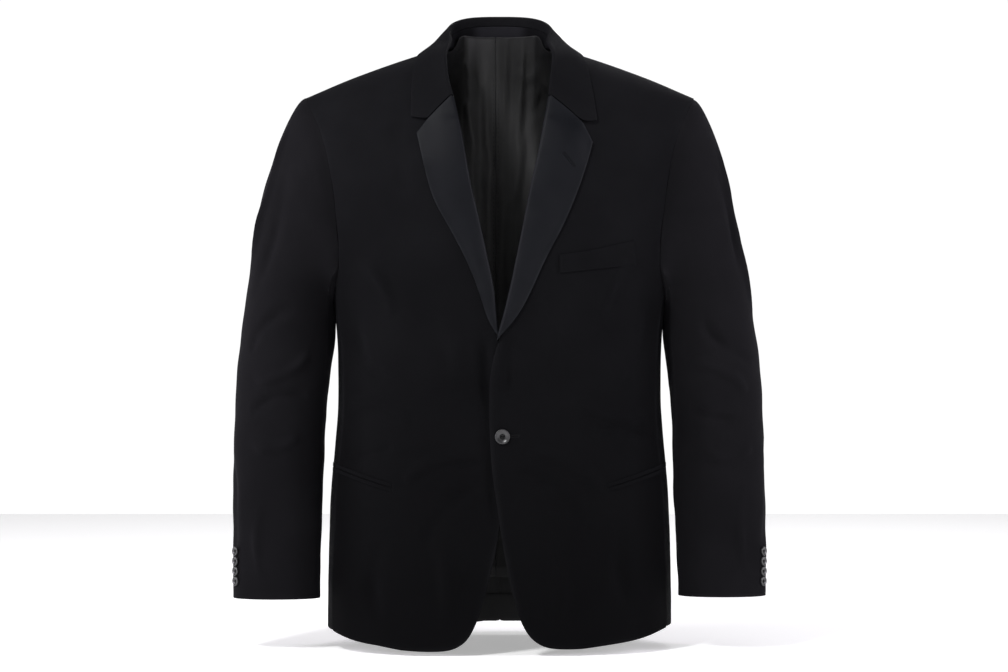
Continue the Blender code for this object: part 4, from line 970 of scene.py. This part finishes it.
# sewing
seam = {"pickPitch": 0.0065, "pickLong": 0.0013, "pickRadius": 0.00020,
        "holeStitch": 0.0017, "holePitch": 0.00052, "holeHalf": 0.00125, "holeRadius": 0.00030,
        "barLong": 0.0042, "tackPitch": 0.0011, "tackLong": 0.0018, "tackRadius": 0.00020,
        "liningPitch": 0.0060, "liningLong": 0.0030, "liningRadius": 0.00022}
ahead, behind = Vector((0, -0.5, 0)), (0, 1, 0)  # seen from in front, the cloth is found behind


def touch(piece, start, direction):
    hit, place, normal, _ = piece.ray_cast(Vector(start), Vector(direction).normalized())
    return (place, normal) if hit else (None, None)


def sewStitches(pieceName, rows, material):
    selectNothing()
    bpy.ops.mesh.primitive_uv_sphere_add(segments=6, ring_count=5, radius=1)
    pattern = bpy.context.object
    copies = []
    for place, normal, along, length, radius in rows:
        made = bpy.data.objects.new("stitch", pattern.data.copy())
        bpy.context.scene.collection.objects.link(made)
        normal = normal.normalized()
        along = (along - normal * along.dot(normal)).normalized()
        across = normal.cross(along)
        basis = Matrix((along * (length / 2), across * radius, normal * radius * 0.8)).transposed().to_4x4()
        made.matrix_world = Matrix.Translation(place) @ basis
        copies.append(made)
    bpy.data.objects.remove(pattern)
    selectNothing()
    for made in copies:
        made.select_set(True)
    bpy.context.view_layer.objects.active = copies[0]
    bpy.ops.object.join()
    piece = bpy.context.object
    bpy.ops.object.transform_apply(location=True, rotation=True, scale=True)
    piece.name = pieceName
    bpy.ops.object.shade_smooth()
    piece.data.materials.clear()
    piece.data.materials.append(material)
    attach(piece, "root")


def workHole(pieceName, carrier, start, end, material):
    start, end = Vector(start), Vector(end)
    run = end - start
    along = run.normalized()
    rows = []
    count = int(run.length / seam["holePitch"])
    for k in range(count + 1):
        spot = start + run * (k / count)
        place, normal = touch(carrier, spot + ahead, behind)
        if place is None:
            continue
        across = normal.cross(along).normalized()
        for way in (1, -1):
            rows.append((place + across * way * seam["holeHalf"] + normal * 0.00010, normal, across,
                         seam["holeStitch"], seam["holeRadius"]))
    for spot in (start, end):
        place, normal = touch(carrier, spot + ahead, behind)
        if place is not None:
            across = normal.cross(along).normalized()
            for k in (-1, 0, 1):
                rows.append((place + along * 0.0003 * k + normal * 0.0002, normal, across,
                             seam["barLong"], seam["holeRadius"]))
    sewStitches(pieceName, rows, material)


workHole("frontButtonhole", pieces["frontLeft"], (0.0010, 0, -0.4750), (0.0240, 0, -0.4745),
         blackThread)
workHole("lapelButtonhole", pieces["lapelLeft"], (0.0780, 0, -0.1300), (0.0915, 0, -0.1465),
         satinThread)


def stitchRow(carrier, path, pitch, length, radius, startAway=ahead, turned=False):
    # small stitches along a path of x and z, laid where the path meets the cloth
    rows = []
    path = np.array(path, float)
    steps = np.linalg.norm(np.diff(path, axis=0), axis=1)
    reach = np.concatenate([[0], np.cumsum(steps)])
    for at in np.arange(pitch / 2, reach[-1], pitch):
        x, z = np.interp(at, reach, path[:, 0]), np.interp(at, reach, path[:, 1])
        later = at + pitch * 0.4
        place, normal = touch(carrier, Vector((x, 0, z)) + startAway, behind)
        if place is None:
            continue
        if later < reach[-1]:
            along = Vector((np.interp(later, reach, path[:, 0]) - x, 0,
                            np.interp(later, reach, path[:, 1]) - z))
        else:
            along = Vector((x - path[0, 0], 0, z - path[0, 1]))
        if turned:
            along = normal.cross(along)
        rows.append((place + normal * radius * 0.35, normal, along, length, radius))
    return rows


def edgePath(carrier, heights, fromX, toX, inset):
    # the open edge at each height, found from outside, and a line inset from it
    path = []
    for z in heights:
        for x in np.arange(fromX, toX, 0.0008 if toX > fromX else -0.0008):
            if touch(carrier, (x, ahead.y, z), behind)[0] is not None:
                path.append((x + inset, z))
                break
    return path


stitching = {  # material, slot, then carrier, heights from, to and step, search from x to x, inset
    "frontEdgeStitches": (blackThread, "wool", [
        ("frontLeft", (-0.365, -0.690, -0.010), -0.05, 0.08, 0.0045)]),
    "lapelStitches": (satinThread, "satin", [
        ("lapelLeft", (-0.125, -0.340, -0.010), 0.16, -0.02, -0.0040),
        ("lapelRight", (-0.125, -0.340, -0.010), -0.16, 0.02, 0.0040)]),
    "collarStitches": (blackThread, "wool", [
        ("collarLeaf", (0.000, -0.070, -0.006), 0.16, 0.05, -0.0040),
        ("collarLeaf", (0.000, -0.070, -0.006), -0.16, -0.05, 0.0040)]),
}
for pieceName, (material, slotName, runs) in stitching.items():
    rows = []
    for name, heights, fromX, toX, inset in runs:
        edge = edgePath(pieces[name], np.arange(*heights), fromX, toX, inset)
        rows += stitchRow(pieces[name], edge, seam["pickPitch"], seam["pickLong"], seam["pickRadius"])
    sewStitches(pieceName, rows, material)

tacks = {  # carrier, then the ends of each short row
    "weltTacks": ("breastWelt", (((0.0760, -0.2565), (0.0760, -0.2745)),
                                 ((0.1625, -0.2400), (0.1645, -0.2630)))),
    "pocketTacksLeft": ("frontLeft", (((0.1300, -0.5340), (0.1300, -0.5440)),)),
    "pocketTacksRight": ("frontRight", (((-0.1300, -0.5340), (-0.1300, -0.5440)),)),
}
for pieceName, (carrier, paths) in tacks.items():
    rows = []
    for path in paths:
        rows += stitchRow(pieces[carrier], path, seam["tackPitch"], seam["tackLong"], seam["tackRadius"],
                          turned=True)
    sewStitches(pieceName, rows, blackThread)

liningRows = []
for side, word in ((1, "Left"), (-1, "Right")):
    path = [(side * 0.0030 - 0.005, z) for z in (-0.02, -0.560)]
    liningRows += stitchRow(pieces["lining" + word], path, seam["liningPitch"], seam["liningLong"],
                            seam["liningRadius"], startAway=Vector((0, 0.02, 0)))
sewStitches("liningStitches", liningRows, liningThread)
print("sewing done")

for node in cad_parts.values():  # a CAD node that stays on show is wool too
    if not node.hide_render:
        node.data.materials.clear()
        node.data.materials.append(wool)
